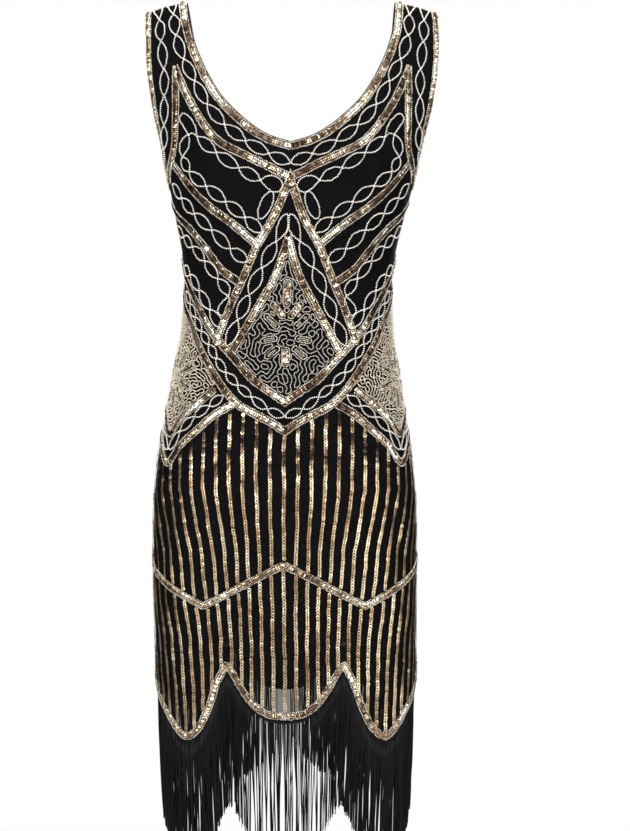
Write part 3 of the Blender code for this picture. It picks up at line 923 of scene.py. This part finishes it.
def strandOffset(index, rounded, lobes, way):
    # how far a strand swings from its braid's middle line, as a share of the half width
    lobe = np.minimum(index.astype(int), lobes - 1)
    t = index - lobe
    swing = 4 * t * (1 - t)
    opened = ("start" in rounded) & (lobe == 0), ("end" in rounded) & (lobe == lobes - 1)
    swing = np.where(opened[0], (1 - t) * np.sqrt(t) / 0.385, swing)
    swing = np.where(opened[1], t * np.sqrt(1 - t) / 0.385, swing)
    swing = np.where(opened[0] & opened[1], np.sqrt(np.sin(math.pi * t)), swing)
    return swing * way * (-1.0) ** lobe


for name, cloth in sides.items():
    strands = Strewing("bead")
    lines = [smoothPath(points, 0.0005)[0] for points in loops.values()]
    for width, rounded, crossings in braids.values():
        line, index = smoothPath(crossings, 0.0004)
        for way in (1, -1):
            offset = strandOffset(index, rounded, len(crossings) - 1, way)
            lines.append(beside(line, offset * width / 1000))
    for line in lines:
        line[:, 0] = np.maximum(line[:, 0], 0.0007)
        for half in halves:
            sew(strands, cloth, line, half, "braidBead")
    strands.make(f"{name}_braid_beads", "beads")
print("braids sewn")

# Rosettes of rounded petals: start, end and half width of each from the rosette's middle, on one half,
# and whether it is filled with sequins
rosettes = {
    "centre": {"at": (0, -195), "petals": [
        ((0, 39), (0, 64), 4.8, True), ((5.5, 23), (17, 37), 3.6, True), ((12.5, 10), (25, 22.5), 3.6, False),
        ((15, -5.5), (28.5, -8), 3.6, False), ((11.5, -18.5), (23, -28), 3.6, False),
        ((0, -21), (0, -36), 4.8, True),
    ]},
    "hip": {"at": (166, -248), "petals": [
        ((0, 12), (0, 38), 4.8, True), ((9, 11), (23, 32), 4.6, True), ((14, 5), (38, 14), 4.6, True),
        ((14, -5), (34, -13), 4.6, True), ((8, -12), (19, -30), 4.6, True), ((0, -14), (0, -38), 4.8, True),
    ]},
}
meander = {
    "centre": {"spacing": 0.0048, "bead": 0.0015, "pitch": 0.00190, "margin": 0.0022, "tones": (0.00, 0.22)},
    "hip": {"spacing": 0.0041, "bead": 0.0023, "pitch": 0.00230, "margin": 0.0020, "tones": (0.10, 0.60)},
    "cell": 0.0006,
    "start": 0.4,  # spread of the noise that it grows from
    "steps": 9,
    "time": 0.6,  # of a step
    "spread": 2.2,  # the lower, the more unevenly the lines run
    "drive": 0.5,
    "floor": -0.5,
    "fewest": 4,  # beads in a line
}


def capsule(start, end, width):
    # outline and middle line of a rounded petal
    way = unit(end - start)
    left = np.array((-way[1], way[0]))
    turns = np.linspace(-math.pi / 2, math.pi / 2, 14)[:, None]
    arc = (way * np.cos(turns) + left * np.sin(turns)) * width
    return np.vstack((end + arc, start - arc, end + arc[:1])) / 1000, np.array((start, end)) / 1000


def denser(line, step=0.0006):
    marks = runOf(line)
    return atRun(line, marks, np.linspace(0, marks[-1], max(2, int(marks[-1] / step))))


def inside(polygon, points):
    # whether points of the cloth lie within a closed line
    found = np.zeros(len(points), bool)
    for (ax, ay), (bx, by) in zip(polygon, np.roll(polygon, -1, axis=0)):
        if ay == by:
            continue
        crosses = (ay > points[:, 1]) != (by > points[:, 1])
        found ^= crosses & (points[:, 0] < (bx - ax) * (points[:, 1] - ay) / (by - ay) + ax)
    return found


def openGround(region, obstacles, margin):
    # a grid of cells that lie in a region and clear of the obstacles
    cell = meander["cell"]
    low = region.min(0) - 2 * margin
    columns, rows = (np.ceil((region.max(0) + 2 * margin - low) / cell)).astype(int)
    grid = np.stack(np.meshgrid(np.arange(columns), np.arange(rows), indexing="ij"), axis=-1)
    ground = inside(region, (grid.reshape(-1, 2) + 0.5) * cell + low).reshape(columns, rows)
    spots = ((obstacles - low) / cell).astype(int)
    reach = int(margin / cell) + 1
    for i in range(-reach, reach + 1):
        for j in range(-reach, reach + 1):
            if math.hypot(i, j) * cell <= margin:
                near = spots + (i, j)
                near = near[(near >= 0).all(1) & (near < (columns, rows)).all(1)]
                ground[near[:, 0], near[:, 1]] = False
    return ground, low


def contours(heights):
    # the zero lines of a grid of heights, in cells
    high = heights > 0
    corners = high[:-1, :-1].astype(int) + high[1:, :-1] + high[:-1, 1:] + high[1:, 1:]
    links = {}
    for i, j in np.argwhere((corners > 0) & (corners < 4)).tolist():
        low, top, left, right = (i, j, 0), (i, j + 1, 0), (i, j, 1), (i + 1, j, 1)
        square = high[i, j], high[i + 1, j], high[i + 1, j + 1], high[i, j + 1]
        corner = zip((low, right, top, left), square, square[1:] + square[:1])
        crossed = [edge for edge, start, end in corner if start != end]
        if len(crossed) == 4 and (heights[i : i + 2, j : j + 2].mean() > 0) == square[0]:
            crossed = [low, right, top, left]
        elif len(crossed) == 4:
            crossed = [left, low, right, top]
        for first, second in zip(crossed[::2], crossed[1::2]):
            links.setdefault(first, []).append(second)
            links.setdefault(second, []).append(first)

    def spot(edge):
        i, j, upright = edge
        start, end = heights[i, j], heights[i + 1 - upright, j + upright]
        part = start / (start - end)
        return i + part * (1 - upright), j + part * upright

    lines, seen = [], set()
    for edge in links:
        if edge in seen:
            continue
        chain = [edge]
        seen.add(edge)
        for _ in range(2):
            while True:
                onward = [other for other in links[chain[-1]] if other not in seen]
                if not onward:
                    break
                seen.add(onward[0])
                chain.append(onward[0])
            chain.reverse()
        if chain[0] in links[chain[-1]] and len(chain) > 2:
            chain.append(chain[0])
        lines.append(np.array([spot(edge) for edge in chain]))
    return lines


def meanderSpots(region, obstacles, how, draw):
    # beads along the edges of a labyrinth that grows from noise, with lines `spacing` apart
    ground, low = openGround(region, obstacles, how["margin"])
    turns = [np.fft.fftfreq(size, meander["cell"]) * 2 * how["spacing"] for size in ground.shape]
    turns[1] = turns[1][: ground.shape[1] // 2 + 1]
    detune = (1 - turns[0][:, None] ** 2 - turns[1][None] ** 2) ** 2
    noise = np.fft.rfft2(draw.normal(0, 1, ground.shape))
    heights = np.fft.irfft2(noise * np.exp(-meander["spread"] * detune), ground.shape)
    heights *= meander["start"] / heights.std()
    for _ in range(meander["steps"]):
        grown = np.fft.rfft2(heights) - meander["time"] * np.fft.rfft2(heights**3)
        grown /= 1 - meander["time"] * (meander["drive"] - detune)
        heights = np.fft.irfft2(grown, ground.shape)
        heights[~ground] = meander["floor"]
    beads = []
    for line in contours(heights):
        line = (line + 0.5) * meander["cell"] + low
        marks = runOf(line)
        count = int(marks[-1] / how["pitch"])
        if count >= meander["fewest"]:
            stops = (np.arange(count) + 0.5) * marks[-1] / count
            beads.append(atRun(line, marks, stops))
    return np.vstack(beads)


def bandPoints(names, half):
    # middle and edge lines of some bands, on one half or on both
    offsets = (-bandLine["edge"], 0, bandLine["edge"])
    lines = np.vstack([beside(smoothPath(bands[n])[0], offset) for n in names for offset in offsets])
    return lines * (half, 1) if half else np.vstack((lines, lines * (-1, 1)))


hipRegion = np.vstack((
    smoothPath(bands["lowerSwag"])[0][:170], smoothPath(bands["hipUpper"])[0], [(0.232, -0.118)]
))
diamondHalf = np.vstack((
    smoothPath(bands["diamond"])[0], smoothPath(bands["upperSwag"])[0][-112:],
))
regions = {
    # region, bands that bound it
    "centre": (np.vstack((diamondHalf, diamondHalf[::-1] * (-1, 1))), ("diamond", "upperSwag")),
    "hip": (hipRegion, ("lowerSwag", "hipUpper")),
}
rosetteParts = []
for key, rosette in rosettes.items():
    region, bounding = regions[key]
    at = np.array(rosette["at"])
    for half in (0,) if key == "centre" else halves:
        outlines, fillings = [], []
        for start, end, width, filled in rosette["petals"]:
            for mirrored in (1, -1) if start[0] else (1,):
                ends = [(at + np.array(p) * (mirrored, 1)) * (half or 1, 1) for p in (start, end)]
                outline, middle = capsule(*ends, width)
                outlines.append(denser(outline))
                if filled:
                    fillings.append(denser(middle))
        obstacles = np.vstack((bandPoints(bounding, half), *outlines))
        draw = np.random.default_rng(34 + half)
        spots = meanderSpots(region * (half or 1, 1), obstacles, meander[key], draw)
        rosetteParts.append((outlines, fillings, spots, meander[key]))
for name, cloth in sides.items():
    petals = Strewing("sequin")
    rims = Strewing("edgeBead")
    fill = Strewing("seed")
    for outlines, fillings, spots, how in rosetteParts:
        for outline in outlines:
            sew(rims, cloth, outline, 0, "petalBead")
        for middle in fillings:
            for offset in (-0.0016, 0.0016):
                sew(petals, cloth, beside(middle, offset), 0, "petalSequin")
        spots = spots[cloth.covers(spots[:, 0], spots[:, 1])]
        places, outward = cloth.place(spots[:, 0], spots[:, 1], how["bead"] * 0.42)
        count = len(places)
        heading = np.tile((1.0, 0.0, 0.3), (count, 1)) + chance.normal(0, 0.5, (count, 3))
        size = how["bead"] * chance.uniform(0.9, 1.12, count)
        fill.add(places, outward, heading, size, chance.uniform(*how["tones"], count))
    petals.make(f"{name}_petal_sequins", "bandSequins")
    rims.make(f"{name}_petal_beads", "beads")
    fill.make(f"{name}_meander_beads", "beads")
print("rosettes and fill sewn")

# Stripes of ring sequins from the hips to the hem; they draw together downwards
stripes = {
    # height on the cloth and distance between stripes there
    "pitches": ((-0.80, 0.0138), (-0.578, 0.0138), (-0.469, 0.0152), (-0.390, 0.0174), (-0.20, 0.0174)),
    "count": 17,
    "ring": 0.0052,
    "step": 0.0038,
    "wobble": 0.0004,
    "waves": (0.075, 0.031),  # their lengths
    "clearOfSwag": 0.0058,
    "clearOfZigzag": 0.0060,
    "clearOfHem": 0.0055,
    "widest": 0.985,  # share of the way to the side seam
    "lift": 0.0012,
    "drift": 0.00015,
    "loose": (-0.405, -0.335),  # the sequins lie flat below the first and at all angles above the second
    "fewest": 8,  # steps of 1 mm in a stretch of stripe
    # length over which the tone changes, darkest, lightest and grain, first lying flat and then loose; where
    # loose, white and dark brown runs of tone are painted glints and painted shade
    "even": (0.160, 0.58, 0.92, 0.09),
    "paintedGlints": (0.060, -0.10, 1.15, 0.12),
    # mean, more where loose, spread, more spread where loose
    "tilt": (0.02, 0.28, 0.05, 0.10),
    # range, length over which it changes, spread, more spread where loose
    "roll": (0.30, 0.12, 0.07, 0.14),
    # the outer stripes draw in above the hem: how far, between which heights and over which distances
    # from the centre line
    "drawIn": 0.016,
    "drawUps": (-0.52, -0.69),
    "drawAlong": (0.085, 0.185),
}


def strewn(stops, how):
    length, dark, light, grain = how
    return wander(stops, length, dark, light) + chance.normal(0, grain, len(stops))


def stripeTop(along):
    swag = smoothPath(bands["lowerSwag"])[0][::-1]
    hip = smoothPath(bands["hipLower"])[0]
    fromSwag = np.interp(along, swag[:, 0], swag[:, 1])
    fromHip = np.interp(along, hip[:, 0], hip[:, 1])
    return np.where(along < 0.067, fromSwag, fromHip) - stripes["clearOfSwag"]


pitchUps, pitchValues = np.array(stripes["pitches"]).T
for name, cloth in sides.items():
    rings = Strewing("ring")
    ups = np.arange(-0.25, -0.72, -0.001)
    for k in range(-stripes["count"], stripes["count"] + 1):
        phase = chance.uniform(0, 2 * math.pi, 2)
        long, short = (np.sin(ups / w * 2 * math.pi + p) for w, p in zip(stripes["waves"], phase))
        sway = long + 0.5 * short
        along = k * np.interp(ups, pitchUps, pitchValues) + stripes["wobble"] * sway
        drawn = smoothStep(np.interp(ups, stripes["drawUps"][::-1], (1, 0)))
        drawn *= np.interp(np.abs(along), stripes["drawAlong"], (0, 1))
        along -= np.sign(k) * stripes["drawIn"] * drawn
        share = np.abs(along) / cloth.quarterAt(ups)
        gap = ups - zigzagUp(share)
        free = (ups < stripeTop(np.abs(along))) & (share < stripes["widest"])
        free &= ups > cloth.hemUp(share) + stripes["clearOfHem"]
        for part in (gap > stripes["clearOfZigzag"], gap < -stripes["clearOfZigzag"]):
            chosen = np.flatnonzero(free & part)
            if len(chosen) < stripes["fewest"]:
                continue
            line = np.stack((along[chosen], ups[chosen]), axis=1)
            places, outward, heading, stops, spots = walk(
                cloth, line, stripes["step"], stripes["lift"], 0, drift=stripes["drift"]
            )
            count = len(places)
            low, high = stripes["loose"]
            loose = smoothStep((spots[:, 1] - low) / (high - low) * 0.9 + 0.1)
            even = strewn(stops, stripes["even"])
            # where the sequins lie loose, the tone swings between painted glints and painted shade
            tone = even + (strewn(stops, stripes["paintedGlints"]) - even) * loose
            mean, more, spread, wider = stripes["tilt"]
            tilt = mean + more * loose + chance.normal(0, spread, count)
            tilt += chance.normal(0, wider, count) * loose
            most, length, spread, wider = stripes["roll"]
            roll = most * (wander(stops, length) - 0.5) + chance.normal(0, spread, count)
            roll += chance.normal(0, wider, count) * loose
            rings.add(places, outward, heading, stripes["ring"], tone, tilt, roll)
    rings.make(f"{name}_stripe_sequins", "stripeSequins")
print("stripes sewn")

def meshOf(name, sheet):
    mesh = bpy.data.meshes.new(name)
    sheet.to_mesh(mesh)
    sheet.free()
    return mesh


def turnOut(sheet, face, outward):
    # all faces of a sheet look outwards, as the given one then does
    bmesh.ops.recalc_face_normals(sheet, faces=sheet.faces)
    if face.normal.dot(outward) < 0:
        bmesh.ops.reverse_faces(sheet, faces=sheet.faces)


def tapeMesh(name, tape, places, outward):
    for vert, place in zip(tape.verts, places):
        vert.co = place
    tape.faces.ensure_lookup_table()
    turnOut(tape, tape.faces[len(tape.faces) // 2], Vector(outward))
    return meshOf(name, tape)


# The net and its lining: thin shells on the forms of their solids
shells = {
    "net": {"columns": 40, "hemRows": 30, "bodyRows": 64, "strapRows": 42, "hemRise": 0.0, "inset": 0.0,
            "lift": 0.0, "wall": 0.0005},
    "satin": {"columns": 26, "hemRows": 20, "bodyRows": 44, "strapRows": 26, "hemRise": 0.040,
              "inset": 0.0012, "lift": -0.0034, "wall": 0.0006},
    "hemRowsTop": -0.43,
    "strapEase": 1.25,  # rows crowd towards the neckline's foot
}


def makeShell(name, kind, node):
    # a grid laid out on each half of the cloth, from the hem to the shoulder seam
    cloth, sizes = sides[name], shells[kind]
    rows = sizes["hemRows"] + sizes["bodyRows"] + sizes["strapRows"]
    sheet = bmesh.new()
    for _ in halves:
        bmesh.ops.create_grid(sheet, x_segments=sizes["columns"], y_segments=rows, size=1)
    flat = (np.array([vert.co[:2] for vert in sheet.verts]) + 1) / 2
    half = np.repeat(halves, len(flat) // 2)
    share, row = flat[:, 0], flat[:, 1] * rows
    bottom = cloth.hemUp(share) - cut["hemEdge"] + sizes["hemRise"]
    hemTop = shells["hemRowsTop"]
    levels = np.concatenate((
        np.linspace(hemTop, neckFootUp, sizes["bodyRows"] + 1)[:-1],
        neckFootUp
        + (shoulderUp - neckFootUp) * np.linspace(0, 1, sizes["strapRows"] + 1) ** shells["strapEase"],
    ))
    fromHem = bottom + (hemTop - bottom) * row / sizes["hemRows"]
    overHem = np.interp(row - sizes["hemRows"], range(len(levels)), levels)
    up = np.where(row < sizes["hemRows"], fromHem, overHem)
    inner = np.where(up > neckFootUp + 1e-6, cloth.innerAt(up) + sizes["inset"], 0)
    openArm = cloth.outerAt(up) < cloth.quarterAt(up) - sizes["inset"]
    outer = np.where(openArm, cloth.outerAt(up) - sizes["inset"], cloth.quarterAt(up))
    along = (inner + (outer - inner) * share) * half
    places, _ = cloth.place(np.where(along == 0, 1e-9 * half, along), up, sizes["lift"])
    alongLayer, upLayer = (sheet.verts.layers.float.new(key) for key in ("along", "up"))
    for vert, place, a, u in zip(sheet.verts, places, along, up):
        vert.co = place
        vert[alongLayer], vert[upLayer] = a, u
    bmesh.ops.remove_doubles(sheet, verts=sheet.verts, dist=1e-5)
    deepest = max(sheet.faces, key=lambda f: abs(f.calc_center_median().y))
    turnOut(sheet, deepest, Vector((0, deepest.calc_center_median().y, 0)))
    uv = sheet.loops.layers.uv.new("cloth")
    for face in sheet.faces:
        for loop in face.loops:
            loop[uv].uv = (loop.vert[alongLayer], loop.vert[upLayer])
        face.smooth = True
    area = sum(face.calc_area() for face in sheet.faces)
    length = shoulderUp - min(up)
    mesh = meshOf(f"{name}_{kind}", sheet)
    piece = addPiece(mesh.name, mesh, finishes[kind], [node])
    addWall(piece, sizes["wall"])
    print(f"{piece.name}: {area:.4f} square metres, {length:.3f} long, widest {2 * max(outer):.3f}")
    return piece, area


def addWall(piece, thickness):
    wall = piece.modifiers.new("wall", "SOLIDIFY")
    wall.thickness = thickness
    wall.offset = -1
    tally[piece.name] = len(piece.data.polygons) * 4


# Tapes behind the side and shoulder seams, which close the gaps between front and back
seamTape = {
    "width": 0.005,
    "depth": 0.0014,
    "wall": 0.0004,
    "rows": 60,
    "underarmGap": 0.0005,  # below the armhole's foot
    "endGap": 0.001,  # from the neck's and the armhole's edges on the shoulder
}


def makeSeamTape(name, half):
    tape = bmesh.new()
    bmesh.ops.create_grid(tape, x_segments=seamTape["rows"], y_segments=3, size=1)
    flat = np.array([vert.co[:2] for vert in tape.verts])
    run = (flat[:, 0] + 1) / 2
    inset = seamTape["width"] * (np.abs(flat[:, 1]) * 1.5 - 0.5)
    places = np.zeros((len(flat), 3))
    for cloth in sides.values():
        if name == "side":
            low = cloth.hemUp(1.0) - cut["hemEdge"]
            up = low + (-seamTape["underarmGap"] - low) * run
            along = (cloth.quarterAt(up) - inset) * half
        else:
            up = shoulderUp - inset
            inner = cloth.innerAt(shoulderUp) + seamTape["endGap"]
            outer = cloth.outerAt(shoulderUp) - seamTape["endGap"]
            along = (inner + (outer - inner) * run) * half
        chosen = flat[:, 1] * cloth.side > 0
        places[chosen] = cloth.place(along, up, -seamTape["depth"])[0][chosen]
    mesh = tapeMesh(f"{name}_seam_{'left' if half > 0 else 'right'}", tape, places, (half, 0, 1))
    addWall(addPiece(mesh.name, mesh, finishes["satin"]), seamTape["wall"])


for half in halves:
    makeSeamTape("side", half)
    makeSeamTape("shoulder", half)

for name in sides:
    makeShell(name, "net", f"{name}_panel")
    makeShell(name, "satin", f"{name}_lining")
print("shells made")

# Fringe: strands of rayon that hang in loose clumps from a tape behind the hem
fringe = {
    "strands": 340,  # on each half of a side
    # weight of strands and then gathering, by distance from the centre line
    "weight": {"front": ((0.050, 1.0), (0.110, 2.1)), "back": ((0.010, 0.20), (0.036, 0.60), (0.060, 1.0))},
    "length": 0.165,
    "uneven": 0.003,
    "shortest": 0.156,
    "longest": 0.171,
    "thickness": 0.00145,
    "tip": 0.75,
    "segments": 8,
    "clump": 0.0066,
    "gathering": {"front": ((0.050, 0.78), (0.110, 0.36)), "back": ((0.050, 0.60), (0.110, 0.55))},
    "gatherFrom": {"front": ((0.050, 0.08), (0.110, 0.60)), "back": ((0.050, 0.40), (0.110, 0.55))},
    "widening": ((0.060, 1.0), (0.120, 1.35)),
    "draw": 0.045,  # how much nearer the middle the tips hang, as a share
    "middle": {"front": 0.0, "back": -0.009},  # where the strands are thinnest
    "parting": {"front": 0.0, "back": 0.009},
    "partingReach": 0.030,
    "sway": 0.0008,
    "scatter": 0.0003,  # of roots along the hem
    "rootBelow": 0.0015,  # the net's cut edge
    "rootDepth": 0.0016,  # behind the net's outer face, and its spread
    "rootSpread": (-0.0005, 0.0003),
    "stray": 0.16,  # how readily a strand joins the clump beside its own
    "clumpShift": 0.0016,
    "gathered": 0.95,  # share of a strand's length by which it has gathered
    "widths": (0.85, 1.15),
    "tapeAbove": 0.0050,
    "tapeBelow": 0.0030,
    "tapeDepth": 0.0021,
    "tapeWall": 0.0012,
}


def strandShape():
    # a three-sided strand of unit length and width, hanging from its root
    shape = bmesh.new()
    bmesh.ops.create_cone(
        shape, cap_ends=True, segments=3, radius1=0.5 * fringe["tip"], radius2=0.5, depth=1,
        matrix=Matrix.Translation((0, 0, -0.5)),
    )
    long = [e for e in shape.edges if abs(e.verts[0].co.z - e.verts[1].co.z) > 0.5]
    bmesh.ops.subdivide_edges(shape, edges=long, cuts=fringe["segments"] - 1, use_grid_fill=True)
    return shape


shapes["strand"] = strandShape()


def makeFringe(cloth):
    template, faces = templateOf(shapes["strand"])
    count = fringe["strands"] * 2
    shares = np.linspace(0, 1, 2000)
    up = cloth.hemUp(shares) - cut["hemEdge"]
    rootLine, _ = cloth.place(shares * cloth.quarterAt(up), up)
    marks = runOf(rootLine)
    middle = fringe["middle"][cloth.name]
    stops = []
    weightAt = tuple(zip(*fringe["weight"][cloth.name]))
    for half in halves:
        weights = np.cumsum(np.interp(np.abs(marks * half - middle), *weightAt))
        spread = (np.arange(fringe["strands"]) + 0.5) / fringe["strands"] * weights[-1]
        stops.append(np.interp(spread, weights, marks) * half)
    stops = np.concatenate(stops) + chance.normal(0, fringe["scatter"], count)
    away = np.abs(stops - middle)
    share = np.interp(np.abs(stops), marks, shares) * np.sign(stops)
    rootUp = cloth.hemUp(np.abs(share)) - cut["hemEdge"] - fringe["rootBelow"]
    roots, outward = cloth.place(share * cloth.quarterAt(rootUp), rootUp, -fringe["rootDepth"])
    roots = roots + outward * chance.uniform(*fringe["rootSpread"], (count, 1))
    clumps = np.round(stops / fringe["clump"] + chance.normal(0, fringe["stray"], count))
    centres = np.zeros_like(roots)
    for clump in np.unique(clumps):
        members = clumps == clump
        sideways, outwards = chance.normal(0, fringe["clumpShift"], 2)
        centre = roots[members].mean(0) + (sideways, 0, 0)
        centres[members] = centre + outward[members].mean(0) * outwards
    length = fringe["length"] + chance.normal(0, fringe["uneven"], count)
    length = np.clip(length, fringe["shortest"], fringe["longest"])
    fall = -template[:, 2]
    gathering, gatherFrom = (
        np.interp(away, *zip(*fringe[key][cloth.name]))[:, None] for key in ("gathering", "gatherFrom")
    )
    gather = gathering * smoothStep((fall - gatherFrom) / (fringe["gathered"] - gatherFrom))
    pull = (centres - roots) * (1, 1, 0)
    parting = fringe["parting"][cloth.name] * np.exp(-away / fringe["partingReach"])
    parting = parting * np.sign(stops - middle)
    phase = chance.uniform(0, 2 * math.pi, (count, 3))
    sway = np.stack([
        np.sin(fall[None] * (5.0 + i) + phase[:, i : i + 1]) - np.sin(phase[:, i : i + 1]) for i in range(2)
    ], axis=-1) * fringe["sway"] * smoothStep(fall * 2)[None, :, None]
    width = fringe["thickness"] * chance.uniform(*fringe["widths"], (count, 1))
    width *= np.interp(np.abs(stops), *zip(*fringe["widening"]))[:, None]
    corners = roots[:, None] + pull[:, None] * gather[..., None]
    corners[..., :2] *= 1 - fringe["draw"] * fall[:, None]
    cos, sin = np.cos(phase[:, 2:]), np.sin(phase[:, 2:])
    corners[..., 0] += (template[:, 0] * cos - template[:, 1] * sin) * width + sway[..., 0]
    corners[..., 1] += (template[:, 0] * sin + template[:, 1] * cos) * width + sway[..., 1]
    corners[..., 0] += parting[:, None] * smoothStep(fall * 5)
    corners[..., 2] -= fall * length[:, None]
    tones = np.repeat(np.clip(chance.normal(0.2, 0.2, count), 0, 1)[:, None], len(template), axis=1)
    mesh = joinedMesh(f"{cloth.name}_fringe", corners, faces, tones, True)
    return addPiece(mesh.name, mesh, finishes["rayon"], [f"fringe_{cloth.name}"])


def makeTape(cloth):
    tape = bmesh.new()
    bmesh.ops.create_grid(tape, x_segments=120, y_segments=2, size=1)
    flat = np.array([vert.co[:2] for vert in tape.verts])
    edge = cloth.hemUp(np.abs(flat[:, 0])) - cut["hemEdge"]
    up = edge - fringe["tapeBelow"] + (flat[:, 1] + 1) / 2 * (fringe["tapeAbove"] + fringe["tapeBelow"])
    places, _ = cloth.place(flat[:, 0] * cloth.quarterAt(up), up, -fringe["tapeDepth"])
    for face in tape.faces:
        face.smooth = True
    mesh = tapeMesh(f"{cloth.name}_tape", tape, places, (0, cloth.side, 0))
    strip = addPiece(mesh.name, mesh, finishes["rayon"])
    addWall(strip, fringe["tapeWall"])
    return strip


for name, cloth in sides.items():
    makeFringe(cloth)
    makeTape(cloth)
print("fringe hung;", sum(tally.values()), "triangles in all, most in one piece", max(tally.values()))

# Stage, lights and camera
stage = {"floor": -1.45, "radius": 2.4, "fadeFrom": 0.8}
floorShape = bmesh.new()
lowered = Matrix.Translation((0, 0, stage["floor"]))
bmesh.ops.create_circle(floorShape, cap_ends=True, segments=96, radius=stage["radius"], matrix=lowered)
floorMesh = meshOf("floor", floorShape)
floor = bpy.data.objects.new("floor", floorMesh)
bpy.context.scene.collection.objects.link(floor)
floorFinish = Finish("pale_floor", Roughness=0.9)
spot = floorFinish.node("ShaderNodeTexCoord", output="Object")
across = floorFinish.node("ShaderNodeVectorMath", {"operation": "MULTIPLY"}, {0: spot, 1: (1, 1, 0)})
reach = floorFinish.node("ShaderNodeVectorMath", {"operation": "LENGTH"}, {0: across}, "Value")
fade = floorFinish.node("ShaderNodeMapRange", {"interpolation_type": "SMOOTHSTEP"}, {
    "Value": reach, "From Min": stage["fadeFrom"], "From Max": stage["radius"], "To Min": 1.0, "To Max": 0.0,
})
floorFinish.set({
    "Base Color": floorFinish.blend(floorFinish.noise(3.0), (0.82, 0.82, 0.82), (0.86, 0.86, 0.86)),
    "Alpha": fade,
})
floorMesh.materials.append(floorFinish.material)
floor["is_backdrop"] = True

lamps = {
    # place, aimed at, size, watts
    "key": ((-1.5, -2.4, 0.7), (0, 0, -0.45), 1.2, 58),
    "fill": ((1.8, -2.2, 0.2), (0, 0, -0.55), 1.4, 34),
    "top": ((0.0, -0.6, 1.6), (0, 0, -0.4), 1.6, 26),
    "back": ((0.4, 2.4, 0.6), (0, 0, -0.5), 1.8, 50),
    "left": ((-2.4, -1.1, -0.3), (0, 0, -0.55), 0.8, 9),
    "right": ((2.4, -1.1, -0.3), (0, 0, -0.55), 0.8, 7),
}
for name, (place, aim, size, watts) in lamps.items():
    lamp = bpy.data.lights.new(name, "AREA")
    lamp.shape = "RECTANGLE"
    lamp.size, lamp.size_y = size, size * 1.4
    lamp.energy = watts
    holder = bpy.data.objects.new(name, lamp)
    holder.location = place
    holder.rotation_euler = (Vector(aim) - Vector(place)).to_track_quat("-Z", "Y").to_euler()
    bpy.context.scene.collection.objects.link(holder)

# The room that the sequins mirror is patchy, white in front of the camera
room = {
    "patch": 1.6,
    "shades": ((0.42, (0.06, 0.06, 0.065)), (0.60, (1.15, 1.15, 1.17))),
    "frontTo": -0.45, "sidesFrom": 0.25, "sides": 0.10,
    "ahead": 0.50, "aheadFrom": -0.86, "aheadFull": -0.95,
}
world = bpy.data.worlds.new("studio")
bpy.context.scene.world = world
sky = Nodes(world)
backdrop = sky.tree.nodes["Background"]
backdrop.inputs["Color"].default_value = (1, 1, 1, 1)
around = sky.node("ShaderNodeTexCoord", output="Generated")
patches = sky.node("ShaderNodeTexNoise", None, {"Vector": around, "Scale": room["patch"], "Detail": 1.0})
shade = sky.node("ShaderNodeValToRGB", {"stops": room["shades"]}, {"Fac": patches})
depth = sky.node("ShaderNodeSeparateXYZ", None, {0: around}, "Y")
strength = sky.node("ShaderNodeMapRange", None, {
    "Value": depth, "From Min": room["frontTo"], "From Max": room["sidesFrom"],
    "To Min": 1.0, "To Max": room["sides"],
})
evenness = sky.node("ShaderNodeMapRange", None, {
    "Value": depth, "From Min": room["aheadFrom"], "From Max": room["aheadFull"],
})
mirrored = sky.blend(evenness, shade, (room["ahead"],) * 3)
ambient = sky.node("ShaderNodeBackground", None, {"Color": mirrored, "Strength": strength})
seen = sky.node("ShaderNodeLightPath", output="Is Camera Ray")
choice = sky.node("ShaderNodeMixShader", None, {0: seen, 1: ambient, 2: Wire(sky, backdrop.outputs[0])})
sky.tree.links.new(choice.socket, sky.tree.nodes["World Output"].inputs["Surface"])
bpy.context.scene.view_settings.view_transform = "Standard"

cameraData = bpy.data.cameras.new("camera")
cameraData.lens = 100
cameraData.sensor_width = 36
camera = bpy.data.objects.new("camera", cameraData)
camera.location = (0.035, -3.0, -0.536)
camera.rotation_euler = (math.pi / 2, 0, 0)
bpy.context.scene.collection.objects.link(camera)
bpy.context.scene.camera = camera
print("stage set")

low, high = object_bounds()
